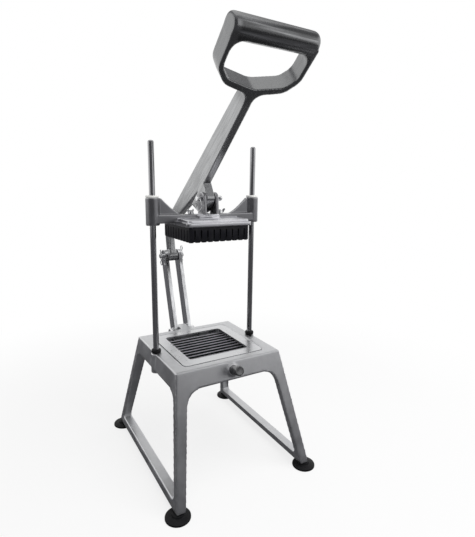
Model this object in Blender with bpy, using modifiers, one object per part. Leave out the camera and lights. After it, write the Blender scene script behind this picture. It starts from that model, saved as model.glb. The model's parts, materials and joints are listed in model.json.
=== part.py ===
# Manual food chopper: a cast stand with a blade cassette, a pusher head on two guide rods,
# and a long hand lever that two links hinge to the back of the stand.
# Metres, Z up, front of the chopper towards -Y. Distances are first given from the middle of
# the stand's top; the whole chopper then moves so that its footprint is centred on the origin.
import math

import bpy
import bmesh
from mathutils import Matrix, Vector

# Fits
GAP = 0.0003                 # between pieces that touch
FLAT_ANGLE = 0.0005          # neighbouring faces that turn less than this are one face
OVERLAP = 0.001              # how far two bodies that become one run into each other
RUN_OUT = 0.005              # how far a cutter passes the face that it opens
BORE_REACH = 0.04            # half the length of a cutter for a bore right through

# Stand casting
STAND_WIDTH = 0.190          # top face, across
STAND_DEPTH = 0.1767         # top face, front to back
STAND_HEIGHT = 0.196
FOOT_HEIGHT = 0.008
SIDE_SLOPE = math.radians(8.0)
FRONT_SLOPE = math.radians(17.5)
REAR_SLOPE = math.radians(16.0)
APRON_HEIGHT = 0.029
TOP_THICKNESS = 0.008
APRON_WALL = 0.007
LEG_WIDTH_TOP = 0.0195       # across, just under the apron
INNER_SLOPE = math.radians(9.3)
LEG_DEPTH = 0.0115           # front to back
RAIL_HEIGHT = 0.013
ARCH_RADIUS = 0.027
WINDOW_TOP_RADIUS = 0.022
WINDOW_LOW_RADIUS = 0.006
ROD_BOSS_RADIUS = 0.009
ROD_BOSS_HEIGHT = 0.035
KNOB_BOSS_RADIUS = 0.0093
KNOB_BOSS_LENGTH = 0.0045
KNOB_DROP = 0.0130           # knob axis under the top face, where it meets the front face
REAR_LUG_RADIUS = 0.0125
REAR_LUG_WIDTH = 0.0205
REAR_LUG_ROUNDING = 0.01225
LEG_POCKET = 0.007           # how far the hollow under the top runs down into the legs
KNOB_BOSS_ROOT = 0.004       # how far the boss runs into the sloping wall
THROUGH = STAND_WIDTH + STAND_DEPTH + STAND_HEIGHT    # a cutter that passes the whole stand

# Feet
FOOT_RADIUS = 0.019
FOOT_RIM = 0.0025
FOOT_NECK_RADIUS = 0.0085
FOOT_NECK_FLARE = Vector((0.0025, 0.0022))    # widening, and its lower end above the rim
FOOT_BEVEL = Vector((0.0020, 0.0004))         # the rim's sloping upper edge
FOOT_RIM_ROUND = 0.0010
FOOT_INSET = Vector((0.0052, 0.0070))    # from the leg's outer corner to the foot's middle
FOOT_SCREW_RADIUS = 0.0025
FOOT_SCREW_HEAD_RADIUS = 0.0045
FOOT_SCREW_HEAD_HEIGHT = 0.0025
FOOT_SCREW_LENGTH = 0.008    # above the foot
FOOT_SCREW_SUNK = 0.0010     # screw head above the floor

# Blade cassette
BLADE_CENTRE_Y = 0.0025
PLATE_WIDTH = 0.146
PLATE_DEPTH = 0.144
PLATE_THICKNESS = 0.005
PLATE_CORNER = 0.008
CELLS = 10
PITCH = 0.011
OPENING = CELLS * PITCH
OPENING_CORNER = 0.006
SKIRT_WALL = 0.006
SKIRT_HEIGHT = 0.022         # from the plate's top face down
BLADE_THICKNESS = 0.0008
BLADE_HEIGHT = 0.006
BLADE_DROP = 0.0042          # top of the upper blades under the plate's top face
BLADE_SEAT = 0.0020          # depth of the slots that hold the blades' ends

# Lock knob
KNOB_RADIUS = 0.0078
KNOB_LENGTH = 0.0205
KNOB_CHAMFER = 0.0012
KNOB_NECK_DEPTH = 0.0020
KNOB_NECK_LENGTH = 0.0015
KNOB_SHANK_RADIUS = 0.003

# Guide rods
ROD_INSET = 0.0032           # rod axis inside the edge of the stand's top
ROD_SPACING = STAND_WIDTH - 2 * ROD_INSET
ROD_RADIUS = 0.00475
ROD_RISE = 0.341             # above the stand's top
ROD_TOP = STAND_HEIGHT + ROD_RISE
ROD_DOME_HEIGHT = 0.0024
ROD_TENON_RADIUS = 0.003
ROD_TENON_LENGTH = 0.018
ROD_NUT_RADIUS = 0.0056
ROD_NUT_HEIGHT = 0.005
BUMPER_RADIUS = 0.008
BUMPER_HEIGHT = 0.006
BUMPER_ROUND = 0.002

# Pusher head
HEAD_LIFT = 0.212            # the raised head above the stand's top
HEAD_BOTTOM = STAND_HEIGHT + HEAD_LIFT    # underside of the bosses and of the head plate
BOSS_RADIUS = 0.0107
BOSS_HEIGHT = 0.043
BUSH_RADIUS = 0.007
BUSH_FLANGE_RADIUS = 0.0102
BUSH_FLANGE_HEIGHT = 0.003
BAR_DEPTH = 0.020
BAR_HEIGHT = 0.013
BAR_LIFT = 0.003             # underside of the bar above the bosses' underside
GUSSET_WEB = 0.006
GUSSET_ROOT = 0.0043         # how far the web runs into the boss
GUSSET_FLAT = 0.003          # level part next to the boss
GUSSET_CURVE = 1.5           # how hollow the upper edge is, 1 for straight
HEAD_PLATE_WIDTH = 0.116
HEAD_PLATE_DEPTH = 0.112
HEAD_PLATE_HEIGHT = 0.006
HEAD_PLATE_CORNER = 0.006
HEAD_STEP_CORNER = 0.005
HEAD_STEP_INSET = 0.004
HEAD_STEP_HEIGHT = 0.004
PEDESTAL_RADII = (0.0195, 0.0165)
PEDESTAL_STEPS = (0.004, 0.003)
EAR_GAP = 0.0165
EAR_THICKNESS = 0.0055
EAR_RADIUS = 0.0100
EAR_FLARE = 0.002            # how much wider each side of an ear is at its foot

# Pusher block
BLOCK_MARGIN = 0.002         # between the block and the sides of the blade opening
BLOCK_ROOF = 0.0045
BLOCK_CORNER = 0.003
FINGER_LENGTH = 0.0195
FINGER_SLOT = 0.0022
STUD_SPACING = Vector((0.029, 0.004))    # from the middle of the head, each way
STUD_RISE = 0.0066           # above the bar
STUD_RADIUS = 0.0025
STUD_HEAD_RADIUS = 0.0045
STUD_HEAD_HEIGHT = 0.0028
WING_NUT_RADIUS = 0.0055
WING_NUT_TOP_RADIUS = 0.0044
WING_NUT_HEIGHT = 0.005
WING_ROOT = 0.0012           # the wings' inner edges outside the stud
WING_TOP_REACH = 0.0080
WING_SHOULDER = 0.0071       # height at which a wing is widest
WING_ROUNDING = 0.002
WING_REACH = 0.0100
WING_RISE = 0.0095
WING_THICKNESS = 0.0018
WING_TURNS = (math.radians(35), math.radians(-20))
GUSSET_END = STUD_SPACING.x + WING_REACH + 2 * GAP    # from the middle, clear of the wing nuts

# Lever mechanism, seen from the side as (y, z)
HEAD_PIVOT_FORWARD = 0.00865
HEAD_PIVOT_RISE = 0.0420     # above the underside of the bosses
LINK_PIVOT_BEHIND = 0.02365  # lower hinge behind the edge of the stand's top
LINK_PIVOT_DROP = 0.0120     # lower hinge below the stand's top
LINK_LEAN = 0.0454           # upper hinge behind the lower one
LINK_RISE = 0.1459           # upper hinge above the lower one
HEAD_PIVOT = Vector((-HEAD_PIVOT_FORWARD, HEAD_BOTTOM + HEAD_PIVOT_RISE))
LINK_LOW_PIVOT = Vector((STAND_DEPTH / 2 + LINK_PIVOT_BEHIND, STAND_HEIGHT - LINK_PIVOT_DROP))
LINK_TOP_PIVOT = LINK_LOW_PIVOT + Vector((LINK_LEAN, LINK_RISE))
STROKE = HEAD_BOTTOM - STAND_HEIGHT - BUMPER_HEIGHT - 2 * GAP    # down to the bumpers
PIN_RADIUS = 0.004
LINK_WIDTH = 0.024
LINK_THICKNESS = 0.0064
LINK_GAP = 0.0220
LINK_PIN_END = 0.0075        # past the links' outer faces
CLIP_INSET = 0.0035          # clip's hole from the pin's end
HEAD_PIN_LEFT = 0.0215
HEAD_PIN_RIGHT = 0.0210
PIN_BALL_RADIUS = 0.0045
PIN_EYE_RADIUS = 0.0020
PIN_EYE_INSET = 0.0038       # from the pin's left end
RING_RADIUS = 0.0103
RING_WIRE = 0.0008
CLIP_WIRE = 0.0009
CLIP_LEG = (-0.013, 0.010)   # the straight leg, from its tip to where the eye starts
CLIP_EYE = 0.0042
CLIP_EYE_START = 0.014
CLIP_WAVE = ((0.009, -0.0006), (0.0055, 0.0002), (0.0, 0.0004), (-0.004, 0.0), (-0.008, -0.0016),
             (-0.012, 0.0008))    # the wavy leg, along the clip and out from where it rides on the pin
BOLT_HEAD_RADIUS = 0.0072
BOLT_HEAD_HEIGHT = 0.0053
BOLT_END = 0.009             # past the right washer
PIVOT_NUT_HEIGHT = 0.0065
WASHER_RADIUS = 0.0082
WASHER_THICKNESS = 0.0016

# Lever casting
UNDER_EDGE_BEND = Vector((0.00675, 0.0207))    # where the under edge bends, from the head's pin
UNDER_EDGE_POINT = HEAD_PIVOT + UNDER_EDGE_BEND
UNDER_EDGE_ROUNDING = 0.080
UNDER_EDGE_RISE = math.radians(41.1)
UNDER_EDGE_REAR_RISE = math.radians(28.0)
UPPER_EDGE_PLACE = Vector((0.02025, 0.0609))   # a point of the upper edge, from the head's pin
UPPER_EDGE_POINT = HEAD_PIVOT + UPPER_EDGE_PLACE
UPPER_EDGE_RISE = math.radians(35.2)
ARM_WIDTH = 0.012
LEG_FRONT_PLACE = Vector((-0.0039, 0.0397))    # a point of the leg's front, from the upper hinge
LEG_FRONT_POINT = LINK_TOP_PIVOT + LEG_FRONT_PLACE
LEG_FRONT_ROUNDING = 0.012
LEG_REAR_ROUNDING = 0.022
LEG_LEAN = math.radians(82.0)
LEG_DEPTH_BACK = 0.022
BARREL_RADIUS = 0.0110
LEG_END = 0.0099             # half width of the leg where it ends on the barrel
BARREL_WIDTH = LINK_GAP - 4 * GAP
LUG_WIDTH = EAR_GAP - 3 * GAP
LUG_WALL = 0.0050
LUG_ROOT = Vector((0.014, -0.046))    # along the under edge from the pin, where the lug ends
LUG_ROOT_DEPTH = 0.004       # how far the lug runs into the arm
GRIP_START = 0.177           # along the under edge, from UNDER_EDGE_POINT
GRIP_BAR_CENTRE = 0.2533
GRIP_WIDTH = 0.126
GRIP_DEPTH = 0.0275
GRIP_BAND = 0.0068
GRIP_ROOT = 0.0041           # how far the arm runs into the grip's band
GRIP_STEM = 0.018            # the band's outline below GRIP_START, along the arm
GRIP_STEM_ROUNDING = 0.015
GRIP_CORNER = Vector((0.016, 0.010))     # lower corners, in from the side and up from GRIP_START
GRIP_CORNER_ROUNDING = 0.022
GRIP_SHOULDER = 0.030        # height above GRIP_START at which the sides begin
GRIP_SHOULDER_ROUNDING = 0.022
GRIP_FLOOR = Vector((0.0, 0.002))        # the opening's lowest point, up from the band
GRIP_FLOOR_ROUNDING = 0.03
GRIP_OPENING_CORNER = Vector((0.012, 0.0115))
GRIP_OPENING_SHOULDER = 0.026
GRIP_OPENING_ROUNDING = 0.018
GRIP_OPENING_TOP = 0.008     # the opening's top below the bar's axis, inside the bar
GRIP_OPENING_TOP_ROUNDING = 0.016
GRIP_BAR_RADIUS = 0.01425
GRIP_RIGHT_ROUNDING = 0.008
GRIP_LEFT_ROUNDING = 0.003
GRIP_PROUD = 0.0002          # how far the grip's faces stand out of the arm's

COLOURS = {
    "cast aluminium": ((0.62, 0.63, 0.64), 0.42, 1.0),
    "polished aluminium": ((0.66, 0.67, 0.68), 0.25, 1.0),
    "steel": ((0.55, 0.56, 0.57), 0.22, 1.0),
    "blade steel": ((0.45, 0.46, 0.47), 0.30, 1.0),
    "black rubber": ((0.02, 0.02, 0.02), 0.75, 0.0),
    "black plastic": ((0.015, 0.015, 0.018), 0.45, 0.0),
    "white nylon": ((0.85, 0.85, 0.83), 0.50, 0.0),
}

X_AXIS = Vector((1.0, 0.0, 0.0))
Y_AXIS = Vector((0.0, 1.0, 0.0))
Z_AXIS = Vector((0.0, 0.0, 1.0))


# Scene and object helpers

def clear_scene():
    for item in list(bpy.data.objects):
        bpy.data.objects.remove(item, do_unlink=True)


def new_collection(name):
    collection = bpy.data.collections.new(name)
    bpy.context.scene.collection.children.link(collection)
    return collection


def make_materials():
    made = {}
    for name, (colour, roughness, metallic) in COLOURS.items():
        material = bpy.data.materials.new(name)
        material.use_nodes = True
        shader = material.node_tree.nodes["Principled BSDF"]
        shader.inputs["Base Color"].default_value = (*colour, 1.0)
        shader.inputs["Roughness"].default_value = roughness
        shader.inputs["Metallic"].default_value = metallic
        made[name] = material
    return made


def weld(mesh, distance=0.000002, turn_out=False):
    """Merges points that lie together, such as a curve's loose caps, and faces that lie flat."""
    form = bmesh.new()
    form.from_mesh(mesh)
    bmesh.ops.remove_doubles(form, verts=form.verts, dist=distance)
    bmesh.ops.dissolve_degenerate(form, edges=form.edges, dist=distance)
    bmesh.ops.dissolve_limit(form, angle_limit=FLAT_ANGLE, verts=form.verts, edges=form.edges)
    if turn_out:
        bmesh.ops.recalc_face_normals(form, faces=form.faces)
    form.to_mesh(mesh)
    form.free()


def blank(mesh, name):
    """An unfinished object in the guides collection."""
    item = bpy.data.objects.new(name, mesh)
    item.hide_render = True
    item.display_type = "WIRE"
    GUIDES.objects.link(item)
    return item


def object_from(form, name):
    mesh = bpy.data.meshes.new(name)
    form.to_mesh(mesh)
    form.free()
    return blank(mesh, name)


def take_mesh(item):
    """Takes an object's evaluated mesh, and clears away the object and the guides it used."""
    bpy.context.view_layer.update()
    graph = bpy.context.evaluated_depsgraph_get()
    mesh = bpy.data.meshes.new_from_object(item.evaluated_get(graph))
    mesh.transform(item.matrix_world)
    weld(mesh)
    guides = [modifier.object for modifier in item.modifiers if modifier.type == "BOOLEAN"]
    for guide in guides + [item]:
        remove_with_guides(guide)
    return mesh


def remove_with_guides(item):
    for modifier in item.modifiers:
        if modifier.type == "BOOLEAN" and modifier.object:
            remove_with_guides(modifier.object)
    bpy.data.objects.remove(item, do_unlink=True)


def box(size, centre, name="box"):
    form = bmesh.new()
    bmesh.ops.create_cube(form, size=1.0)
    bmesh.ops.scale(form, vec=size, verts=form.verts)
    bmesh.ops.translate(form, vec=centre, verts=form.verts)
    return object_from(form, name)


def turned_to(axis):
    return Z_AXIS.rotation_difference(axis).to_matrix().to_4x4()


def cylinder(radius, start, end, name="cylinder", sides=32, end_radius=None, twist=0.0):
    """A cylinder or cone from the point start to the point end."""
    start, end = Vector(start), Vector(end)
    place = Matrix.Translation((start + end) / 2) @ turned_to((end - start).normalized())
    form = bmesh.new()
    bmesh.ops.create_cone(form, cap_ends=True, segments=sides, radius1=radius,
                          radius2=radius if end_radius is None else end_radius,
                          depth=(end - start).length, matrix=place @ Matrix.Rotation(twist, 4, "Z"))
    return object_from(form, name)


def ball(radius, centre, name="ball", sides=20):
    form = bmesh.new()
    bmesh.ops.create_uvsphere(form, u_segments=sides, v_segments=sides // 2, radius=radius,
                              matrix=Matrix.Translation(centre))
    return object_from(form, name)


def rounded(corners, steps=6):
    """An outline through corners (x, y, radius), each with an arc of its radius."""
    points = []
    for index, (x, y, radius) in enumerate(corners):
        corner = Vector((x, y))
        back = (Vector(corners[index - 1][:2]) - corner).normalized()
        ahead = (Vector(corners[(index + 1) % len(corners)][:2]) - corner).normalized()
        if radius <= 0.0:
            points.append(corner)
            continue
        half = back.angle(ahead) / 2
        centre = corner + (back + ahead).normalized() * (radius / math.sin(half))
        start = corner + back * (radius / math.tan(half)) - centre
        sweep = math.pi - 2 * half
        if back.x * ahead.y - back.y * ahead.x > 0:
            sweep = -sweep
        for step in range(steps + 1):
            points.append(centre + Matrix.Rotation(sweep * step / steps, 2) @ start)
    return points


def flat_outline(outlines, thickness, name):
    """A 2D curve with thickness; further outlines inside the first one are holes."""
    curve = bpy.data.curves.new(name, "CURVE")
    curve.dimensions = "2D"
    curve.fill_mode = "BOTH"
    curve.extrude = thickness / 2
    for outline in outlines:
        spline = curve.splines.new("POLY")
        spline.points.add(len(outline) - 1)
        for point, (x, y) in zip(spline.points, outline):
            point.co = (x, y, 0.0, 1.0)
        spline.use_cyclic_u = True
    return curve


def mesh_from_curve(curve, place, name):
    """Makes a curve a closed mesh object, standing where the matrix puts it."""
    mesh = take_mesh(blank(curve, name))
    mesh.materials.clear()
    mesh.transform(place)
    weld(mesh, distance=0.00001, turn_out=True)
    return blank(mesh, name)


def facing(across, up, origin=(0.0, 0.0, 0.0)):
    """A matrix that lays a flat outline's x along across and its y along up."""
    across, up = Vector(across), Vector(up)
    turn = Matrix((across, up, across.cross(up))).transposed().to_4x4()
    return Matrix.Translation(origin) @ turn


def slab(outlines, thickness, across, up, origin, name="slab"):
    curve = flat_outline(outlines, thickness, name)
    return mesh_from_curve(curve, facing(across, up, origin), name)


def side_slab(outlines, thickness, middle_x=0.0, name="slab"):
    """A slab whose outline is drawn from the side, as (y, z)."""
    return slab(outlines, thickness, Y_AXIS, Z_AXIS, (middle_x, 0.0, 0.0), name)


def front_slab(outlines, thickness, middle_y=0.0, name="slab"):
    """A slab whose outline is drawn from the front, as (x, z)."""
    return slab(outlines, thickness, X_AXIS, Z_AXIS, (0.0, middle_y, 0.0), name)


def top_slab(outlines, bottom, top, name="slab"):
    """A slab whose outline is drawn from above, as (x, y)."""
    return slab(outlines, top - bottom, X_AXIS, Y_AXIS, (0.0, 0.0, (bottom + top) / 2), name)


def rectangle(width, depth, radius, centre=(0.0, 0.0), steps=5):
    x, y = width / 2, depth / 2
    corners = [(-x, -y), (x, -y), (x, y), (-x, y)]
    return rounded([(centre[0] + a, centre[1] + b, radius) for a, b in corners], steps)


def circle(radius, centre, sides=24):
    turns = [2 * math.pi * step / sides for step in range(sides)]
    return [Vector(centre) + radius * Vector((math.cos(a), math.sin(a))) for a in turns]


def lathe(profile, name, sides=40):
    """A turned shape whose profile (radius, height) runs down the outer side.

    It starts and ends on the axis, or at one point for a shape with a hole."""
    mesh = bpy.data.meshes.new(name)
    form = bmesh.new()
    closed = profile[0] == profile[-1]
    verts = [form.verts.new((radius, 0.0, height)) for radius, height in (profile[:-1] if closed else profile)]
    for first, second in zip(verts, verts[1:] + (verts[:1] if closed else [])):
        form.edges.new((first, second))
    form.to_mesh(mesh)
    form.free()
    item = blank(mesh, name)
    screw = item.modifiers.new("turn", "SCREW")
    screw.steps = sides
    screw.render_steps = sides
    screw.use_merge_vertices = True
    screw.merge_threshold = 0.00001
    screw.use_smooth_shade = False
    return item


def wire(points, radius, name, cyclic=False, resolution=2):
    """A round wire through the points, with closed ends."""
    curve = bpy.data.curves.new(name, "CURVE")
    curve.dimensions = "3D"
    curve.bevel_depth = radius
    curve.bevel_resolution = resolution
    curve.use_fill_caps = True
    spline = curve.splines.new("POLY")
    spline.points.add(len(points) - 1)
    for point, place in zip(spline.points, points):
        point.co = (*place, 1.0)
    spline.use_cyclic_u = cyclic
    return mesh_from_curve(curve, Matrix.Identity(4), name)


def combine(target, tool, operation):
    """Adds or removes the tool's shape with a live Boolean; the tool stays as a guide."""
    modifier = target.modifiers.new(operation.lower(), "BOOLEAN")
    modifier.operation = operation
    modifier.solver = "EXACT"
    modifier.object = tool


def add(target, *tools):
    for tool in tools:
        combine(target, tool, "UNION")


def cut(target, *tools):
    for tool in tools:
        combine(target, tool, "DIFFERENCE")


def group(items, name):
    """Joins separate solids into one mesh, without merging them, as one cutter."""
    form = bmesh.new()
    for item in items:
        mesh = take_mesh(item)
        form.from_mesh(mesh)
        bpy.data.meshes.remove(mesh)
    return object_from(form, name)


def finish(item, name, material, pivot=None):
    """Makes an unfinished object a finished piece, parented to the pivot that it moves with."""
    pivot = pivot or PIVOTS["chopper"]
    mesh = take_mesh(item)
    mesh.transform(Matrix.Translation(-pivot_place(pivot)))
    return finished_object(mesh, name, material, pivot)


def finish_turned(item, place, name, material, pivot=None):
    """The same for a turned piece, which keeps its origin on its own axis."""
    pivot = pivot or PIVOTS["chopper"]
    piece = finished_object(take_mesh(item), name, material, pivot)
    piece.location = place - pivot_place(pivot)
    return piece


def finished_object(mesh, name, material, pivot):
    mesh.name = name
    mesh.materials.clear()
    mesh.materials.append(MATERIALS[material])
    mesh.shade_smooth()
    mesh.set_sharp_from_angle(angle=math.radians(30))
    piece = bpy.data.objects.new(name, mesh)
    piece.parent = pivot
    PARTS.objects.link(piece)
    return piece


def new_pivot(name, place, parent=None):
    """An empty on a joint's axis, or the one that carries the whole chopper."""
    pivot = bpy.data.objects.new(name, None)
    pivot.empty_display_size = ROD_BOSS_RADIUS
    if parent:
        pivot.parent = PIVOTS[parent]
        pivot.location = place - pivot_place(PIVOTS[parent])
    PARTS.objects.link(pivot)
    PIVOTS[name] = pivot
    return pivot


def pivot_place(pivot):
    """A pivot's place from the middle of the stand, before the chopper is centred."""
    place = pivot.location.copy()
    while pivot.parent:
        pivot = pivot.parent
        place += pivot.location
    return place


# Stand

def half_width(z):
    return STAND_WIDTH / 2 + math.tan(SIDE_SLOPE) * (STAND_HEIGHT - z)


def front_y(z):
    return -STAND_DEPTH / 2 - math.tan(FRONT_SLOPE) * (STAND_HEIGHT - z)


def rear_y(z):
    return STAND_DEPTH / 2 + math.tan(REAR_SLOPE) * (STAND_HEIGHT - z)


def apron_low():
    return STAND_HEIGHT - APRON_HEIGHT


def inner_half_width(z):
    top = half_width(apron_low()) - LEG_WIDTH_TOP
    return top + math.tan(INNER_SLOPE) * (apron_low() - z)


def knob_frame():
    """The lock knob's place on the front face, and the direction it points out of it."""
    z = STAND_HEIGHT - KNOB_DROP
    out = Vector((0.0, -math.cos(FRONT_SLOPE), math.sin(FRONT_SLOPE)))
    return Vector((0.0, front_y(z), z)), out


def rod_places():
    return [(side, Vector((side * ROD_SPACING / 2, BLADE_CENTRE_Y, 0.0))) for side in (-1, 1)]


def tapered_body():
    form = bmesh.new()
    bmesh.ops.create_cube(form, size=1.0)
    for vert in form.verts:
        z = STAND_HEIGHT if vert.co.z > 0 else FOOT_HEIGHT
        y = rear_y(z) if vert.co.y > 0 else front_y(z)
        x = half_width(z) if vert.co.x > 0 else -half_width(z)
        vert.co = (x, y, z)
    return object_from(form, "stand_body")


def arch_cutter():
    low = -2 * RUN_OUT
    inner, outer = inner_half_width(apron_low()), inner_half_width(low)
    outline = rounded([(-outer, low, 0), (outer, low, 0), (inner, apron_low(), ARCH_RADIUS),
                       (-inner, apron_low(), ARCH_RADIUS)], steps=8)
    return front_slab([outline], THROUGH, name="arch")


def window_cutter():
    low = FOOT_HEIGHT + RAIL_HEIGHT
    corners = [(front_y(low) + LEG_DEPTH, low, WINDOW_LOW_RADIUS),
               (rear_y(low) - LEG_DEPTH, low, WINDOW_LOW_RADIUS),
               (rear_y(apron_low()) - LEG_DEPTH, apron_low(), WINDOW_TOP_RADIUS),
               (front_y(apron_low()) + LEG_DEPTH, apron_low(), WINDOW_TOP_RADIUS)]
    return side_slab([rounded(corners, steps=7)], THROUGH, name="window")


def rear_lug():
    y, z = LINK_LOW_PIVOT
    r = REAR_LUG_RADIUS
    inside = STAND_DEPTH / 2 - APRON_WALL + 2 * OVERLAP
    outline = rounded([(inside, z - r, 0), (y + r, z - r, REAR_LUG_ROUNDING),
                       (y + r, z + r, REAR_LUG_ROUNDING), (inside, z + r, 0)], steps=8)
    return side_slab([outline], REAR_LUG_WIDTH, name="rear_lug")


def stand():
    body = tapered_body()
    below = apron_low() - LEG_POCKET
    under_top = STAND_HEIGHT - TOP_THICKNESS
    hollow = box((STAND_WIDTH - 2 * APRON_WALL, STAND_DEPTH - 2 * APRON_WALL, under_top - below),
                 (0.0, 0.0, (under_top + below) / 2), "hollow")
    cut(body, arch_cutter(), window_cutter(), hollow)
    for side, place in rod_places():
        top = place + Vector((0.0, 0.0, STAND_HEIGHT))
        add(body, cylinder(ROD_BOSS_RADIUS, top - Z_AXIS * ROD_BOSS_HEIGHT, top, "rod_boss"))
    face, out = knob_frame()
    add(body, cylinder(KNOB_BOSS_RADIUS, face - out * KNOB_BOSS_ROOT, face + out * KNOB_BOSS_LENGTH,
                       "knob_boss"))
    add(body, rear_lug())
    cut_stand(body)
    return finish(body, "base_frame", "cast aluminium")


def cut_stand(body):
    """The seats and holes for what the stand carries."""
    seat = STAND_HEIGHT - PLATE_THICKNESS - GAP
    plate = rectangle(PLATE_WIDTH + 4 * GAP, PLATE_DEPTH + 4 * GAP, PLATE_CORNER)
    cut(body, top_slab([plate], seat, STAND_HEIGHT + RUN_OUT, "plate_seat"))
    outer = OPENING + 2 * SKIRT_WALL + 4 * GAP
    well = rectangle(outer, outer, OPENING_CORNER + SKIRT_WALL, (0.0, BLADE_CENTRE_Y))
    cut(body, top_slab([well], below_top(TOP_THICKNESS + RUN_OUT), STAND_HEIGHT + RUN_OUT, "well"))
    for side, place in rod_places():
        bottom = below_top(ROD_BOSS_HEIGHT)
        shoulder = rod_shoulder()
        cut(body, cylinder(ROD_RADIUS + GAP, place + Z_AXIS * shoulder,
                           place + Z_AXIS * (STAND_HEIGHT + RUN_OUT), "rod_bore"),
            cylinder(ROD_TENON_RADIUS + GAP, place + Z_AXIS * (bottom - RUN_OUT),
                     place + Z_AXIS * (shoulder + GAP), "tenon_bore"),
            cylinder(ROD_NUT_RADIUS + 3 * GAP, place + Z_AXIS * (bottom - RUN_OUT),
                     place + Z_AXIS * (bottom + ROD_NUT_HEIGHT + 2 * GAP), "nut_seat"))
    face, out = knob_frame()
    cut(body, cylinder(KNOB_SHANK_RADIUS + GAP, face - out * BORE_REACH,
                       face + out * (KNOB_BOSS_LENGTH + RUN_OUT), "knob_bore"))
    pivot = Vector((0.0, *LINK_LOW_PIVOT))
    cut(body, cross_bore(pivot))
    for place in foot_places():
        cut(body, cylinder(FOOT_SCREW_RADIUS + GAP, place - Z_AXIS * RUN_OUT,
                           place + Z_AXIS * (FOOT_SCREW_LENGTH + GAP), "foot_screw_bore", sides=16))


def cross_bore(pivot):
    """Cuts the hole for a hinge's pin or bolt, right through and across the chopper."""
    reach = X_AXIS * BORE_REACH
    return cylinder(PIN_RADIUS + GAP, pivot - reach, pivot + reach, "cross_bore")


def bore_up(radius, low, depth, name="bore", sides=20):
    """Cuts a hole straight up from below a face, and out at the other end."""
    return cylinder(radius + GAP, low - Z_AXIS * RUN_OUT, low + Z_AXIS * (depth + RUN_OUT), name, sides=sides)


def below_top(depth):
    return STAND_HEIGHT - depth


def rod_shoulder():
    return STAND_HEIGHT - ROD_BOSS_HEIGHT + ROD_TENON_LENGTH


# Feet

def foot_places():
    x = half_width(FOOT_HEIGHT) - FOOT_INSET.x
    ys = (front_y(FOOT_HEIGHT) + FOOT_INSET.y, rear_y(FOOT_HEIGHT) - FOOT_INSET.y)
    return [Vector((side * x, y, FOOT_HEIGHT)) for y in ys for side in (-1, 1)]


def foot(place, name):
    """A rubber disc with a thin rim, a low neck under the leg and a pocket for its screw."""
    top = FOOT_HEIGHT - GAP
    shaft = FOOT_SCREW_RADIUS + GAP
    pocket = FOOT_SCREW_HEAD_RADIUS + GAP
    pocket_top = FOOT_SCREW_SUNK + FOOT_SCREW_HEAD_HEIGHT + GAP
    profile = [(shaft, top), (FOOT_NECK_RADIUS, top),
               (FOOT_NECK_RADIUS + FOOT_NECK_FLARE.x, FOOT_RIM + FOOT_NECK_FLARE.y),
               (FOOT_RADIUS - FOOT_BEVEL.x, FOOT_RIM + FOOT_BEVEL.y), (FOOT_RADIUS, FOOT_RIM - FOOT_RIM_ROUND),
               (FOOT_RADIUS, 0.0), (pocket, 0.0), (pocket, pocket_top), (shaft, pocket_top), (shaft, top)]
    return finish_turned(lathe(profile, name, sides=28), Vector((place.x, place.y, 0.0)), name,
                         "black rubber")


def foot_screw(place, name):
    head = FOOT_SCREW_SUNK
    neck = head + FOOT_SCREW_HEAD_HEIGHT
    low = Vector((place.x, place.y, 0.0))
    screw = cylinder(FOOT_SCREW_HEAD_RADIUS, low + Z_AXIS * head, low + Z_AXIS * neck, sides=20)
    add(screw, cylinder(FOOT_SCREW_RADIUS, low + Z_AXIS * (neck - OVERLAP),
                        low + Z_AXIS * (FOOT_HEIGHT + FOOT_SCREW_LENGTH), sides=12))
    return finish(screw, name, "steel")


def feet():
    names = ("front_left_foot", "front_right_foot", "rear_left_foot", "rear_right_foot")
    for name, place in zip(names, foot_places()):
        foot(place, name)
        foot_screw(place, name + "_screw")


# Blade cassette

def blade_levels():
    """Heights of the upper and lower blades' top edges."""
    upper = STAND_HEIGHT - BLADE_DROP
    return upper, upper - BLADE_HEIGHT - GAP


def blade_offsets():
    return [PITCH * (step - CELLS / 2) for step in range(1, CELLS)]


def blade_strip(along_x, offset, top, thickness, reach, clearance, name):
    """One strip across the opening: a blade, or with clearance the slot that seats its ends."""
    length = OPENING + 2 * reach
    size = (length, thickness) if along_x else (thickness, length)
    place = (0.0, offset) if along_x else (offset, 0.0)
    centre = (place[0], place[1] + BLADE_CENTRE_Y, top - BLADE_HEIGHT / 2)
    return box((*size, BLADE_HEIGHT + 2 * clearance), centre, name)


def blades():
    """Two rows of blades that cross, the upper row across the chopper and the lower row below it."""
    upper, lower = blade_levels()
    for along_x, top, word in ((True, upper, "upper"), (False, lower, "lower")):
        for number, offset in enumerate(blade_offsets(), start=1):
            name = f"{word}_blade_{number}"
            strip = blade_strip(along_x, offset, top, BLADE_THICKNESS, BLADE_SEAT - GAP, 0.0, name)
            finish(strip, name, "blade steel")


def cassette():
    top = STAND_HEIGHT
    plate = rectangle(PLATE_WIDTH, PLATE_DEPTH, PLATE_CORNER)
    opening = rectangle(OPENING, OPENING, OPENING_CORNER, (0.0, BLADE_CENTRE_Y))
    outer = OPENING + 2 * SKIRT_WALL
    skirt = rectangle(outer, outer, OPENING_CORNER + SKIRT_WALL - 2 * GAP, (0.0, BLADE_CENTRE_Y))
    frame = top_slab([plate, opening], top - PLATE_THICKNESS, top, "plate")
    add(frame, top_slab([skirt, opening], top - SKIRT_HEIGHT, top - PLATE_THICKNESS / 2, "skirt"))
    for along_x, level in zip((True, False), blade_levels()):
        slots = [blade_strip(along_x, offset, level, BLADE_THICKNESS + 2 * GAP, BLADE_SEAT, GAP, "slot")
                 for offset in blade_offsets()]
        cut(frame, group(slots, "slots"))
    finish(frame, "blade_frame", "cast aluminium")


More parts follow.
